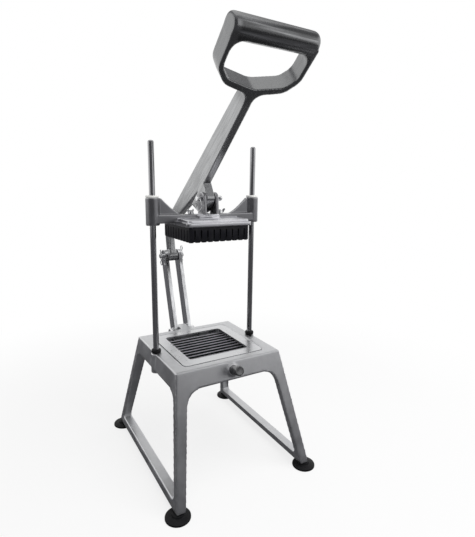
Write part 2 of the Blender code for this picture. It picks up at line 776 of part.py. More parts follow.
def lock_knob():
    """A thumb screw whose shank passes the front wall and ends on the cassette's skirt."""
    face, out = knob_frame()
    pivot = new_pivot("lock_knob_axis", face, "chopper")
    skirt_y = BLADE_CENTRE_Y - OPENING / 2 - SKIRT_WALL - GAP
    tip = (face.y - skirt_y) / out.y - KNOB_SHANK_RADIUS * math.tan(FRONT_SLOPE) - GAP
    start = KNOB_BOSS_LENGTH + GAP
    end = start + KNOB_LENGTH
    neck = KNOB_RADIUS - KNOB_NECK_DEPTH
    profile = [(0.0, end), (KNOB_RADIUS - KNOB_CHAMFER, end), (KNOB_RADIUS, end - KNOB_CHAMFER),
               (KNOB_RADIUS, start + KNOB_NECK_LENGTH), (neck, start + KNOB_NECK_LENGTH), (neck, start),
               (KNOB_SHANK_RADIUS, start), (KNOB_SHANK_RADIUS, -tip), (0.0, -tip)]
    knob = lathe(profile, "knob", sides=36)
    knob.matrix_world = Matrix.Translation(face) @ turned_to(out)
    return finish(knob, "lock_knob", "polished aluminium", pivot)


# Guide rods

def guide_rod(place, name):
    shoulder, top = rod_shoulder() + GAP, ROD_TOP
    low = STAND_HEIGHT - ROD_BOSS_HEIGHT + 2 * GAP
    dome = [(ROD_RADIUS * math.sin(a), top - ROD_DOME_HEIGHT * (1 - math.cos(a)))
            for a in (math.radians(18 * step) for step in range(6))]
    profile = dome + [(ROD_RADIUS, shoulder), (ROD_TENON_RADIUS, shoulder), (ROD_TENON_RADIUS, low),
                      (0.0, low)]
    return finish_turned(lathe(profile, name, sides=32), place, name, "steel")


def ring(inner, outer, bottom, top, name, round_by):
    """A turned ring with a softened outer edge."""
    profile = [(inner, top), (outer - round_by, top), (outer, top - round_by), (outer, bottom + round_by),
               (outer - round_by, bottom), (inner, bottom), (inner, top)]
    return lathe(profile, name, sides=28)


def rod_nut(place, name):
    low = place + Z_AXIS * (STAND_HEIGHT - ROD_BOSS_HEIGHT)
    nut = cylinder(ROD_NUT_RADIUS, low + Z_AXIS * GAP, low + Z_AXIS * ROD_NUT_HEIGHT, sides=6)
    cut(nut, bore_up(ROD_TENON_RADIUS, low, ROD_NUT_HEIGHT))
    return finish(nut, name, "steel")


def rods():
    bottom = STAND_HEIGHT + GAP
    for (side, place), word in zip(rod_places(), ("left", "right")):
        guide_rod(place, word + "_guide_rod")
        bumper = ring(ROD_RADIUS + GAP, BUMPER_RADIUS, bottom, bottom + BUMPER_HEIGHT, "bumper", BUMPER_ROUND)
        finish_turned(bumper, place, word + "_bumper", "black rubber")
        rod_nut(place, word + "_rod_nut")


# Pusher head

def head_levels():
    """Heights of the head plate's top, of its step's top and of the pedestal's top."""
    plate = HEAD_BOTTOM + HEAD_PLATE_HEIGHT
    step = plate + HEAD_STEP_HEIGHT
    return plate, step, step + sum(PEDESTAL_STEPS)


def gusset(side):
    """The web between a boss and the bar, with a hollow curved upper edge."""
    start = side * (ROD_SPACING / 2 - BOSS_RADIUS + GUSSET_ROOT)
    flat = side * (ROD_SPACING / 2 - BOSS_RADIUS - GUSSET_FLAT)
    end = side * GUSSET_END
    top = HEAD_BOTTOM + BOSS_HEIGHT - OVERLAP
    low = HEAD_BOTTOM + BAR_LIFT + BAR_HEIGHT - OVERLAP
    curve = []
    for step in range(9):
        t = step / 8
        curve.append((flat + (end - flat) * t, low + (top - low) * (1 - t) ** GUSSET_CURVE))
    return [(start, low), (start, top)] + curve


def clevis_ear(side):
    _, _, pedestal = head_levels()
    y, z = HEAD_PIVOT
    low = pedestal - 2 * OVERLAP
    wide = EAR_RADIUS + EAR_FLARE
    outline = [(y + wide, low), (y + EAR_RADIUS, z)]
    outline += [(y + EAR_RADIUS * math.cos(a), z + EAR_RADIUS * math.sin(a))
                for a in (math.radians(15 * step) for step in range(1, 12))]
    outline += [(y - EAR_RADIUS, z), (y - wide, low)]
    middle = side * (EAR_GAP + EAR_THICKNESS) / 2
    return side_slab([outline], EAR_THICKNESS, middle, "clevis_ear")


def crosshead():
    plate_top, step_top, pedestal_top = head_levels()
    middle = (0.0, BLADE_CENTRE_Y)
    plate = top_slab([rectangle(HEAD_PLATE_WIDTH, HEAD_PLATE_DEPTH, HEAD_PLATE_CORNER, middle)],
                     HEAD_BOTTOM, plate_top, "head_plate")
    inset = 2 * HEAD_STEP_INSET
    step = rectangle(HEAD_PLATE_WIDTH - inset, HEAD_PLATE_DEPTH - inset, HEAD_STEP_CORNER, middle)
    add(plate, top_slab([step], plate_top - OVERLAP, step_top, "head_step"))
    bar_low = HEAD_BOTTOM + BAR_LIFT
    add(plate, box((ROD_SPACING, BAR_DEPTH, BAR_HEIGHT), (0.0, BLADE_CENTRE_Y, bar_low + BAR_HEIGHT / 2)))
    for side, place in rod_places():
        low = place + Z_AXIS * HEAD_BOTTOM
        add(plate, cylinder(BOSS_RADIUS, low, low + Z_AXIS * BOSS_HEIGHT, "boss", sides=40),
            front_slab([gusset(side)], GUSSET_WEB, BLADE_CENTRE_Y, "gusset"))
    level = step_top - OVERLAP
    for radius, height in zip(PEDESTAL_RADII, PEDESTAL_STEPS):
        base = Vector((0.0, HEAD_PIVOT.x, level))
        level += height + (OVERLAP if level < step_top else 0.0)
        add(plate, cylinder(radius, base, Vector((0.0, HEAD_PIVOT.x, level)), "pedestal", sides=40))
    add(plate, clevis_ear(-1), clevis_ear(1))
    cut_crosshead(plate)
    return finish(plate, "crosshead", "cast aluminium", PIVOTS["head_slide"])


def cut_crosshead(plate):
    for side, place in rod_places():
        cut(plate, bore_up(BUSH_RADIUS, place + Z_AXIS * HEAD_BOTTOM, BOSS_HEIGHT, "bush_bore", sides=32))
    cut(plate, cross_bore(Vector((0.0, *HEAD_PIVOT))))
    for place in stud_places():
        low = Vector((place.x, place.y, HEAD_BOTTOM))
        cut(plate, bore_up(STUD_RADIUS, low, place.z - HEAD_BOTTOM, "stud_bore"))


def bush(place, name):
    """A flanged nylon bush that lines a boss and runs on the rod."""
    top = HEAD_BOTTOM + BOSS_HEIGHT + GAP
    inner = ROD_RADIUS + GAP
    flange = top + BUSH_FLANGE_HEIGHT
    profile = [(inner, flange), (BUSH_FLANGE_RADIUS, flange), (BUSH_FLANGE_RADIUS, top), (BUSH_RADIUS, top),
               (BUSH_RADIUS, HEAD_BOTTOM), (inner, HEAD_BOTTOM), (inner, flange)]
    return finish_turned(lathe(profile, name, sides=32), place, name, "white nylon", PIVOTS["head_slide"])


def stud_places():
    """Seats of the two wing nuts that hold the pusher block, on top of the bar."""
    x, y = STUD_SPACING
    centre = Vector((0.0, BLADE_CENTRE_Y, HEAD_BOTTOM + BAR_LIFT + BAR_HEIGHT))
    return [centre + Vector((-x, -y, 0.0)), centre + Vector((x, y, 0.0))]


def pusher_block():
    top = HEAD_BOTTOM - GAP
    size = OPENING - 2 * BLOCK_MARGIN
    tall = BLOCK_ROOF + FINGER_LENGTH
    outline = rectangle(size, size, BLOCK_CORNER, (0.0, BLADE_CENTRE_Y), steps=3)
    block = top_slab([outline], top - tall, top, "block")
    depth = FINGER_LENGTH + RUN_OUT
    for along_x in (True, False):
        grooves = []
        for offset in blade_offsets():
            size_xy = (2 * size, FINGER_SLOT) if along_x else (FINGER_SLOT, 2 * size)
            place = (0.0, offset) if along_x else (offset, 0.0)
            centre = (place[0], place[1] + BLADE_CENTRE_Y, top - BLOCK_ROOF - depth / 2)
            grooves.append(box((*size_xy, depth), centre))
        cut(block, group(grooves, "grooves"))
    for place in stud_places():
        low = Vector((place.x, place.y, top - BLOCK_ROOF))
        cut(block, bore_up(STUD_RADIUS, low, BLOCK_ROOF),
            cylinder(STUD_HEAD_RADIUS + GAP, low - Z_AXIS * depth, low + Z_AXIS * GAP, sides=20))
    return finish(block, "pusher_block", "black plastic", PIVOTS["head_slide"])


def stud(place, name):
    """A flat-headed screw from under the block up through the head."""
    low = Vector((place.x, place.y, HEAD_BOTTOM - BLOCK_ROOF - GAP))
    screw = cylinder(STUD_HEAD_RADIUS, low - Z_AXIS * STUD_HEAD_HEIGHT, low, sides=20)
    add(screw, cylinder(STUD_RADIUS, low - Z_AXIS * OVERLAP, place + Z_AXIS * STUD_RISE, sides=16))
    return finish(screw, name, "steel", PIVOTS["head_slide"])


def wing_nut(place, name, turn):
    """A low cone with two upright wings, one to each side."""
    axis = new_pivot(name + "_axis", place, "head_slide")
    low = place + Z_AXIS * GAP
    nut = cylinder(WING_NUT_RADIUS, low, low + Z_AXIS * WING_NUT_HEIGHT, "nut", sides=24,
                   end_radius=WING_NUT_TOP_RADIUS)
    inner = STUD_RADIUS + WING_ROOT
    for side in (-1, 1):
        wing = rounded([(side * inner, OVERLAP, 0), (side * (WING_NUT_RADIUS + OVERLAP), OVERLAP, 0),
                        (side * WING_REACH, WING_SHOULDER, WING_ROUNDING),
                        (side * WING_TOP_REACH, WING_RISE, WING_ROUNDING),
                        (side * inner, WING_NUT_HEIGHT, 0)], steps=4)
        across = Matrix.Rotation(turn, 3, "Z") @ X_AXIS
        add(nut, slab([wing], WING_THICKNESS, across, Z_AXIS, low, "wing"))
    cut(nut, bore_up(STUD_RADIUS, low, WING_RISE))
    return finish(nut, name, "steel", axis)


# Lever and links

def along(point, rise, distance):
    """A point further up a line that rises towards the front."""
    return point + distance * Vector((-math.cos(rise), math.sin(rise)))


def crossing(point, direction, other, other_direction):
    cross = direction.x * other_direction.y - direction.y * other_direction.x
    offset = other - point
    return point + direction * ((offset.x * other_direction.y - offset.y * other_direction.x) / cross)


def lever_outline():
    """The side view of the arm and its rear leg, as (y, z)."""
    rise = UNDER_EDGE_RISE
    normal = Vector((math.sin(rise), math.cos(rise)))
    grip_low = along(UNDER_EDGE_POINT, rise, GRIP_START + GRIP_ROOT)
    grip_high = grip_low + normal * GRIP_DEPTH
    leg = Vector((math.cos(LEG_LEAN), math.sin(LEG_LEAN)))
    under_rear = Vector((-math.cos(UNDER_EDGE_REAR_RISE), math.sin(UNDER_EDGE_REAR_RISE)))
    upper = Vector((-math.cos(UPPER_EDGE_RISE), math.sin(UPPER_EDGE_RISE)))
    leg_side = Vector((leg.y, -leg.x))
    rear_point = LEG_FRONT_POINT + leg_side * LEG_DEPTH_BACK
    front_bend = crossing(UNDER_EDGE_POINT, under_rear, LEG_FRONT_POINT, leg)
    rear_bend = crossing(UPPER_EDGE_POINT, upper, rear_point, leg)
    centre = LINK_TOP_PIVOT
    return rounded([(*grip_low, 0), (*UNDER_EDGE_POINT, UNDER_EDGE_ROUNDING),
                    (*front_bend, LEG_FRONT_ROUNDING), (*(centre - leg_side * LEG_END), 0),
                    (*(centre + leg_side * LEG_END), 0), (*rear_bend, LEG_REAR_ROUNDING),
                    (*grip_high, 0)], steps=6)


def swing(stroke):
    """Where the head's pin lies, seen from the lever, when the head is down by this much.

    The three moving joints keep fixed ratios, so between its ends the open pivot drifts."""
    full_lever, full_link = full_angles()
    share = stroke / STROKE
    link = Matrix.Rotation(full_link * share, 2)
    top = LINK_LOW_PIVOT + link @ (LINK_TOP_PIVOT - LINK_LOW_PIVOT)
    pin = HEAD_PIVOT - Vector((0.0, stroke))
    back = Matrix.Rotation(-full_lever * share, 2)
    return LINK_TOP_PIVOT + back @ (pin - top)


def full_angles():
    """How far the lever and the links have turned when the head is fully down."""
    lever_length = (LINK_TOP_PIVOT - HEAD_PIVOT).length
    link_length = (LINK_TOP_PIVOT - LINK_LOW_PIVOT).length
    pin = HEAD_PIVOT - Vector((0.0, STROKE))
    span = LINK_LOW_PIVOT - pin
    spread = math.acos((lever_length ** 2 + span.length ** 2 - link_length ** 2)
                       / (2 * lever_length * span.length))
    aim = math.atan2(span.y, span.x) + spread
    top = pin + lever_length * Vector((math.cos(aim), math.sin(aim)))
    lever = aim - angle_of(LINK_TOP_PIVOT - HEAD_PIVOT)
    link = angle_of(top - LINK_LOW_PIVOT) - angle_of(LINK_TOP_PIVOT - LINK_LOW_PIVOT)
    return lever, link


def angle_of(direction):
    return math.atan2(direction.y, direction.x)


def slot_outline(radius):
    """A slot that follows the pin's path over the lever, with round ends."""
    steps = 24
    points = []
    for step in range(steps + 1):
        points += circle(radius, swing(STROKE * step / steps), 20)
    return convex_outline(points)


def convex_outline(points):
    """The outline that a string pulled round the points would take."""
    ordered = sorted((round(p.x, 7), round(p.y, 7)) for p in points)

    def chain(sequence):
        made = []
        for point in sequence:
            while len(made) > 1 and turn_of(made[-2], made[-1], point) <= 0:
                made.pop()
            made.append(point)
        return made[:-1]

    return [Vector(p) for p in chain(ordered) + chain(reversed(ordered))]


def turn_of(a, b, c):
    return (b[0] - a[0]) * (c[1] - a[1]) - (b[1] - a[1]) * (c[0] - a[0])


def grip():
    """The D-shaped hand grip: a flat band bent round the opening, with a thick round bar."""
    rise = UNDER_EDGE_RISE
    up = Vector((0.0, -math.cos(rise), math.sin(rise)))
    normal = Vector((0.0, math.sin(rise), math.cos(rise)))
    origin = Vector((0.0, *UNDER_EDGE_POINT)) + normal * (GRIP_DEPTH / 2 - GRIP_PROUD)
    half, band = GRIP_WIDTH / 2, GRIP_BAND
    low, bar = GRIP_START, GRIP_BAR_CENTRE
    stem = ARM_WIDTH / 2 + GRIP_PROUD
    right = [(stem, low - GRIP_STEM, 0), (stem, low, GRIP_STEM_ROUNDING),
             (half - GRIP_CORNER.x, low + GRIP_CORNER.y, GRIP_CORNER_ROUNDING),
             (half, low + GRIP_SHOULDER, GRIP_SHOULDER_ROUNDING), (half, bar, 0)]
    outer = rounded(right + mirrored(right), steps=8)
    inner_half, floor = half - band, low + band
    top = bar - GRIP_OPENING_TOP
    right = [(inner_half - GRIP_OPENING_CORNER.x, floor + GRIP_OPENING_CORNER.y, GRIP_OPENING_ROUNDING),
             (inner_half, floor + GRIP_OPENING_SHOULDER, GRIP_OPENING_ROUNDING),
             (inner_half, top, GRIP_OPENING_TOP_ROUNDING)]
    middle = (GRIP_FLOOR.x, floor + GRIP_FLOOR.y, GRIP_FLOOR_ROUNDING)
    inner = rounded([middle] + right + mirrored(right), steps=8)
    band_piece = slab([outer, inner], GRIP_DEPTH, X_AXIS, up, origin, "grip_band")
    centre = Vector((0.0, *UNDER_EDGE_POINT)) + up * bar + normal * (GRIP_BAR_RADIUS - 3 * GRIP_PROUD)
    bar_half = half + 3 * GRIP_PROUD
    bar_piece = lathe(grip_bar_profile(bar_half), "grip_bar", sides=32)
    bar_piece.matrix_world = Matrix.Translation(centre) @ turned_to(X_AXIS)
    return band_piece, bar_piece


def mirrored(corners):
    """The same corners on the left side, in the order that carries on round the outline."""
    return [(-x, y, rounding) for x, y, rounding in reversed(corners)]


def grip_bar_profile(half):
    """The bar's turned shape, well rounded at its right end and less at its left."""
    radius = GRIP_BAR_RADIUS
    arcs = []
    for rounding, middle, turn in ((GRIP_RIGHT_ROUNDING, half - GRIP_RIGHT_ROUNDING, math.pi / 2),
                                   (GRIP_LEFT_ROUNDING, GRIP_LEFT_ROUNDING - half, 0.0)):
        for step in range(4):
            angle = turn - math.pi / 6 * step
            arcs.append((radius - rounding + rounding * math.cos(angle), middle + rounding * math.sin(angle)))
    return [(0.0, half), *arcs, (0.0, -half)]


def lever():
    body = side_slab([lever_outline()], ARM_WIDTH, name="arm")
    pivot = Vector((0.0, *LINK_TOP_PIVOT))
    side = X_AXIS * BARREL_WIDTH / 2
    add(body, cylinder(BARREL_RADIUS, pivot - side, pivot + side, "barrel", sides=40))
    slot = slot_outline(PIN_RADIUS + GAP)
    shell = slot_outline(PIN_RADIUS + GAP + LUG_WALL)
    rise = UNDER_EDGE_RISE
    normal = Vector((math.sin(rise), math.cos(rise)))
    foot_point = HEAD_PIVOT + normal * (UNDER_EDGE_POINT - HEAD_PIVOT).dot(normal)
    neck = [along(foot_point, rise, distance) + normal * LUG_ROOT_DEPTH for distance in LUG_ROOT]
    add(body, side_slab([convex_outline(shell + neck)], LUG_WIDTH, name="lug"))
    add(body, *grip())
    cut(body, side_slab([slot], 2 * BORE_REACH, name="pin_slot"), cross_bore(pivot))
    return finish(body, "lever", "polished aluminium", PIVOTS["lever_hinge"])


def link(side, name):
    """A flat bar with round ends, from the stand's lug up to the lever's barrel."""
    start, end = LINK_LOW_PIVOT, LINK_TOP_PIVOT
    outline = convex_outline(circle(LINK_WIDTH / 2, start, 32) + circle(LINK_WIDTH / 2, end, 32))
    middle = side * (LINK_GAP + LINK_THICKNESS) / 2
    bar = side_slab([outline, circle(PIN_RADIUS + GAP, start), circle(PIN_RADIUS + GAP, end)],
                    LINK_THICKNESS, middle, name)
    return finish(bar, name, "steel", PIVOTS["link_hinge"])


def link_pin_half():
    return LINK_GAP / 2 + LINK_THICKNESS + LINK_PIN_END


def link_pin():
    pivot = Vector((0.0, *LINK_TOP_PIVOT))
    half = link_pin_half()
    pin = cylinder(PIN_RADIUS, pivot - X_AXIS * half, pivot + X_AXIS * half, "pin", sides=28)
    for side in (-1, 1):
        place = pivot + X_AXIS * side * (half - CLIP_INSET)
        reach = clip_direction(side) * (PIN_RADIUS + RUN_OUT)
        cut(pin, cylinder(CLIP_WIRE + GAP, place - reach, place + reach, "clip_bore", sides=12))
    return finish(pin, "link_pin", "steel", PIVOTS["link_hinge"])


def clip_direction(side):
    """The way a hairpin clip's straight leg points: down on the left, up on the right."""
    tilt = math.radians(-100 if side < 0 else 80)
    return Vector((0.0, math.cos(tilt), math.sin(tilt)))


def hairpin(side, name):
    """A hairpin clip: a straight leg through the pin, an eye, and a wavy leg back outside it."""
    pivot = Vector((0.0, *LINK_TOP_PIVOT))
    centre = pivot + X_AXIS * side * (link_pin_half() - CLIP_INSET)
    leg = clip_direction(side)
    out = Vector((0.0, -leg.z, leg.y))
    clear = PIN_RADIUS + CLIP_WIRE + GAP
    flat = [(end, 0.0) for end in CLIP_LEG]
    flat += [(CLIP_EYE_START + CLIP_EYE * math.sin(a), CLIP_EYE * (1 - math.cos(a)))
             for a in (math.radians(20 * step) for step in range(12))]
    flat += [(distance, clear + offset) for distance, offset in CLIP_WAVE]
    points = [centre + leg * x + out * y for x, y in flat]
    return finish(wire(points, CLIP_WIRE, "hairpin", resolution=1), name, "steel", PIVOTS["link_hinge"])


def head_pin():
    """The clevis pin: a ball knob on the right, an eye for its ring on the left."""
    pivot = Vector((0.0, *HEAD_PIVOT))
    left, right = pivot - X_AXIS * HEAD_PIN_LEFT, pivot + X_AXIS * HEAD_PIN_RIGHT
    pin = cylinder(PIN_RADIUS, left, right, "pin", sides=28)
    add(pin, ball(PIN_BALL_RADIUS, right, "pin_ball"))
    eye = left + X_AXIS * PIN_EYE_INSET
    reach = Y_AXIS * (PIN_RADIUS + RUN_OUT)
    cut(pin, cylinder(PIN_EYE_RADIUS, eye - reach, eye + reach, "eye", sides=16))
    return finish(pin, "head_pin", "steel", PIVOTS["head_slide"])


def head_pin_ring():
    """A wire ring that hangs through the pin's eye."""
    eye = Vector((-HEAD_PIN_LEFT + PIN_EYE_INSET, *HEAD_PIVOT))
    middle = eye - Z_AXIS * RING_RADIUS
    turns = [2 * math.pi * step / 24 for step in range(24)]
    points = [middle + RING_RADIUS * Vector((0.0, math.cos(a), math.sin(a))) for a in turns]
    pivot = new_pivot("ring_hinge", eye, "head_slide")
    ring_wire = wire(points, RING_WIRE, "ring", cyclic=True, resolution=1)
    return finish(ring_wire, "head_pin_ring", "steel", pivot)


def pivot_hardware():
    """The bolt, washers and lock nut that hinge the links to the stand's rear lug."""
    pivot = Vector((0.0, *LINK_LOW_PIVOT))
    face = LINK_GAP / 2 + LINK_THICKNESS + GAP
    outer = face + WASHER_THICKNESS
    bolt = cylinder(PIN_RADIUS, pivot - X_AXIS * (outer + OVERLAP), pivot + X_AXIS * (outer + BOLT_END),
                    "bolt", sides=28)
    add(bolt, cylinder(BOLT_HEAD_RADIUS, pivot - X_AXIS * (outer + GAP + BOLT_HEAD_HEIGHT),
                       pivot - X_AXIS * (outer + GAP), "bolt_head", sides=6))
    finish(bolt, "pivot_bolt", "steel")
    start = pivot + X_AXIS * (outer + GAP)
    nut = cylinder(BOLT_HEAD_RADIUS, start, start + X_AXIS * PIVOT_NUT_HEIGHT, "nut", sides=6)
    cut(nut, cross_bore(pivot))
    finish(nut, "pivot_nut", "steel")
    for side, word in ((-1, "left"), (1, "right")):
        start = pivot + X_AXIS * side * face
        washer = cylinder(WASHER_RADIUS, start, start + X_AXIS * side * WASHER_THICKNESS, "washer", sides=32)
        cut(washer, cross_bore(pivot))
        finish(washer, word + "_washer", "steel")


# The whole chopper

def make_pivots():
    new_pivot("chopper", Vector((0.0, 0.0, 0.0)))
    new_pivot("head_slide", Vector((0.0, *HEAD_PIVOT)), "chopper")
    new_pivot("link_hinge", Vector((0.0, *LINK_LOW_PIVOT)), "chopper")
    new_pivot("lever_hinge", Vector((0.0, *LINK_TOP_PIVOT)), "link_hinge")


def centre_footprint():
    """Moves the chopper so that the middle of its box, seen from above, is at the origin."""
    bpy.context.view_layer.update()
    places = [item.matrix_world @ vert.co for item in PARTS.objects if item.type == "MESH"
              for vert in item.data.vertices]
    low = Vector(map(min, zip(*places)))
    high = Vector(map(max, zip(*places)))
    middle = (low + high) / 2
    PIVOTS["chopper"].location = (-middle.x, -middle.y, -low.z)


def build():
    make_pivots()
    stand()
    feet()
    cassette()
    blades()
    lock_knob()
    rods()
    crosshead()
    for (side, place), word in zip(rod_places(), ("left", "right")):
        bush(place, word + "_bush")
    pusher_block()
    for place, word, turn in zip(stud_places(), ("left", "right"), WING_TURNS):
        stud(place, word + "_stud")
        wing_nut(place, word + "_wing_nut", turn)
    head_pin()
    head_pin_ring()
    lever()
    link(-1, "left_link")
    link(1, "right_link")
    link_pin()
    hairpin(-1, "left_clip")
    hairpin(1, "right_clip")
    pivot_hardware()
    centre_footprint()


clear_scene()
PARTS = new_collection("manual_food_chopper")
GUIDES = new_collection("guides")
MATERIALS = make_materials()
PIVOTS = {}
build()
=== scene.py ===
import json
import math

import bmesh
import bpy
from bpy.props import FloatProperty, FloatVectorProperty, PointerProperty
from mathutils import Matrix, Vector


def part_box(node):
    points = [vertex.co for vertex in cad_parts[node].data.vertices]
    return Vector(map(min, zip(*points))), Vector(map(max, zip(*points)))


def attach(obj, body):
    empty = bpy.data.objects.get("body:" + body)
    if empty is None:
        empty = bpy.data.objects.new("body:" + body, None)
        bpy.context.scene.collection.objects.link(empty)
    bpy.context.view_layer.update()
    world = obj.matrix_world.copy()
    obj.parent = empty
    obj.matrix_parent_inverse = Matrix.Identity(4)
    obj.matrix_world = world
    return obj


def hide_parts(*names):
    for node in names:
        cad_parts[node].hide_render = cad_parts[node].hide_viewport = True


bl_info = {
    "name": "Hand-lever food chopper",
    "version": (1, 0, 0),
    "blender": (4, 5, 0),
    "location": "View3D > Sidebar > Chopper",
    "description": "Builds the visible surfaces of a hand-lever food chopper and its studio",
    "category": "Object",
}

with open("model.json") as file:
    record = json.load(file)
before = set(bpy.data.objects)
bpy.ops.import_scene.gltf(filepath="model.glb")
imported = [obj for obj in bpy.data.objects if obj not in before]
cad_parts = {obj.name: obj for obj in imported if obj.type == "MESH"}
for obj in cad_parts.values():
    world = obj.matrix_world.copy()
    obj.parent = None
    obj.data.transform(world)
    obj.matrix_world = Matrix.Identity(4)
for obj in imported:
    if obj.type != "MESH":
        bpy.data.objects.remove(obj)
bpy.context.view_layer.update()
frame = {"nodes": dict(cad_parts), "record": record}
X_AXIS = Vector((1.0, 0.0, 0.0))
Y_AXIS = Vector((0.0, 1.0, 0.0))
Z_AXIS = Vector((0.0, 0.0, 1.0))
SIDES = ("left", "right")
WHITE = (1.0, 1.0, 1.0, 1.0)


# Sizes and colours that a user would change

class CastingSettings(bpy.types.PropertyGroup):
    """Sizes and colours of the aluminium castings."""
    stand_grain: FloatProperty(name="Stand grain", description="Mesh size of the stand",
                               default=0.0015, min=0.001, unit="LENGTH")
    small_grain: FloatProperty(name="Small grain", description="Mesh size of the lever and the head",
                               default=0.0008, min=0.0006, unit="LENGTH")
    grip_length: FloatProperty(name="Grip length", description="How far down the lever its grip reaches",
                               default=0.118, unit="LENGTH")
    stand_colour: FloatVectorProperty(name="Stand colour", description="Satin cast aluminium",
                                      default=(0.66, 0.665, 0.675), size=3, subtype="COLOR")
    lever_colour: FloatVectorProperty(name="Lever colour", description="Polished cast aluminium",
                                      default=(0.44, 0.445, 0.45), size=3, subtype="COLOR")
    head_colour: FloatVectorProperty(name="Head colour", description="Cast aluminium of the pusher head",
                                     default=(0.30, 0.30, 0.312), size=3, subtype="COLOR")


class SteelSettings(bpy.types.PropertyGroup):
    """Sizes and colours of the steel pieces."""
    edge: FloatProperty(name="Edge", description="Radius on the edges of bars, nuts and screws",
                        default=0.0004, min=0.0001, unit="LENGTH")
    rod_colour: FloatVectorProperty(name="Rod colour", description="Polished steel of the guide rods",
                                    default=(0.42, 0.42, 0.43), size=3, subtype="COLOR")
    link_colour: FloatVectorProperty(name="Link colour", description="Bright steel of the links",
                                     default=(0.74, 0.745, 0.755), size=3, subtype="COLOR")
    blade_colour: FloatVectorProperty(name="Blade colour", description="Brushed steel of the blades",
                                      default=(0.26, 0.26, 0.27), size=3, subtype="COLOR")
    blade_edge: FloatProperty(name="Blade edge", description="Height of the ground edge on a blade",
                              default=0.0016, min=0.0004, unit="LENGTH")


class SoftSettings(bpy.types.PropertyGroup):
    """Colours of the rubber, plastic and nylon pieces."""
    rubber_colour: FloatVectorProperty(name="Rubber colour", description="Feet and bumpers",
                                       default=(0.004, 0.004, 0.005), size=3, subtype="COLOR")
    block_colour: FloatVectorProperty(name="Block colour", description="Finned pusher block",
                                      default=(0.006, 0.006, 0.009), size=3, subtype="COLOR")
    nylon_colour: FloatVectorProperty(name="Nylon colour", description="Flanged bushes",
                                      default=(0.86, 0.86, 0.84), size=3, subtype="COLOR")


class StudioSettings(bpy.types.PropertyGroup):
    """Camera, floor, lamps and the screens in the reflections."""
    lens: FloatProperty(name="Lens", description="Focal length", default=27.73, unit="CAMERA")
    yaw: FloatProperty(name="Yaw", description="How far the camera looks to the right of +Y",
                       default=math.radians(30.95), subtype="ANGLE")
    pitch: FloatProperty(name="Pitch", description="How far the camera looks down",
                         default=math.radians(11.50), subtype="ANGLE")
    roll: FloatProperty(name="Roll", description="Turn about the line of sight",
                        default=math.radians(0.804), subtype="ANGLE")
    place: FloatVectorProperty(name="Camera place", description="Where the camera stands",
                               default=(-0.311, -0.6124, 0.473), size=3, unit="LENGTH")
    floor_colour: FloatVectorProperty(name="Floor colour", description="Pale studio floor",
                                      default=(0.90, 0.90, 0.90), size=3, subtype="COLOR")
    key_power: FloatProperty(name="Key power", description="Watts of the overhead lamp", default=16.0)
    side_power: FloatProperty(name="Side power", description="Watts of the right lamp", default=9.0)
    floor_glow: FloatProperty(name="Floor glow", description="Share of white in the floor that is seen",
                              default=0.78, min=0.0, max=1.0)
    floor_fade: FloatProperty(name="Floor fade", description="Distance at which the floor is quite white",
                              default=0.9, unit="LENGTH")
    screen_radius: FloatProperty(name="Screen radius", description="Of the walls round the stage",
                                 default=1.6, unit="LENGTH")
    screen_height: FloatProperty(name="Screen height", description="Of the wall and its roof",
                                 default=1.6, unit="LENGTH")
    screen_back: FloatProperty(name="Screen back", description="How far back the wall reaches",
                               default=-0.1, unit="LENGTH")
    cloth_radius: FloatProperty(name="Cloth radius", description="Of the cloth under the chopper",
                                default=0.60, unit="LENGTH")
    roof_opening: FloatProperty(name="Roof opening", description="Radius of the bright opening overhead",
                                default=0.75, unit="LENGTH")
    dark_colour: FloatVectorProperty(name="Dark screens", description="Left wall, low wall and carpet",
                                     default=(0.13, 0.13, 0.138), size=3, subtype="COLOR")
    bright_colour: FloatVectorProperty(name="Bright screen", description="Upper wall on the right",
                                       default=(0.95, 0.95, 0.96), size=3, subtype="COLOR")
    near_colour: FloatVectorProperty(name="Near cloth", description="Cloth under the chopper",
                                     default=(0.085, 0.085, 0.09), size=3, subtype="COLOR")
    low_wall: FloatProperty(name="Low wall", description="Height of the dark low wall",
                            default=0.34, unit="LENGTH")
    roof_colour: FloatVectorProperty(name="Roof colour", description="Grey roof in the reflections",
                                     default=(0.36, 0.36, 0.37), size=3, subtype="COLOR")
    ambient: FloatProperty(name="Ambient", description="Strength of the world's light", default=0.45)


# Shader maths

NOISE_ROUGHNESS = 0.55
MIX_COLOURS, MIX_RESULT = (6, 7), 2    # a Mix node's sockets for colours


class Value:
    """A shader socket that adds Math nodes when an expression uses it."""

    def __init__(self, nodes, socket):
        self.nodes = nodes
        self.socket = socket

    def with_math(self, operation, *parts):
        return self.nodes.node("ShaderNodeMath", {"operation": operation}, dict(enumerate(parts)))

    def __add__(self, other):
        return self.with_math("ADD", self, other)

    def __sub__(self, other):
        return self.with_math("SUBTRACT", self, other)

    def __rsub__(self, other):
        return self.with_math("SUBTRACT", other, self)

    def __mul__(self, other):
        return self.with_math("MULTIPLY", self, other)

    def __abs__(self):
        return self.with_math("ABSOLUTE", self)


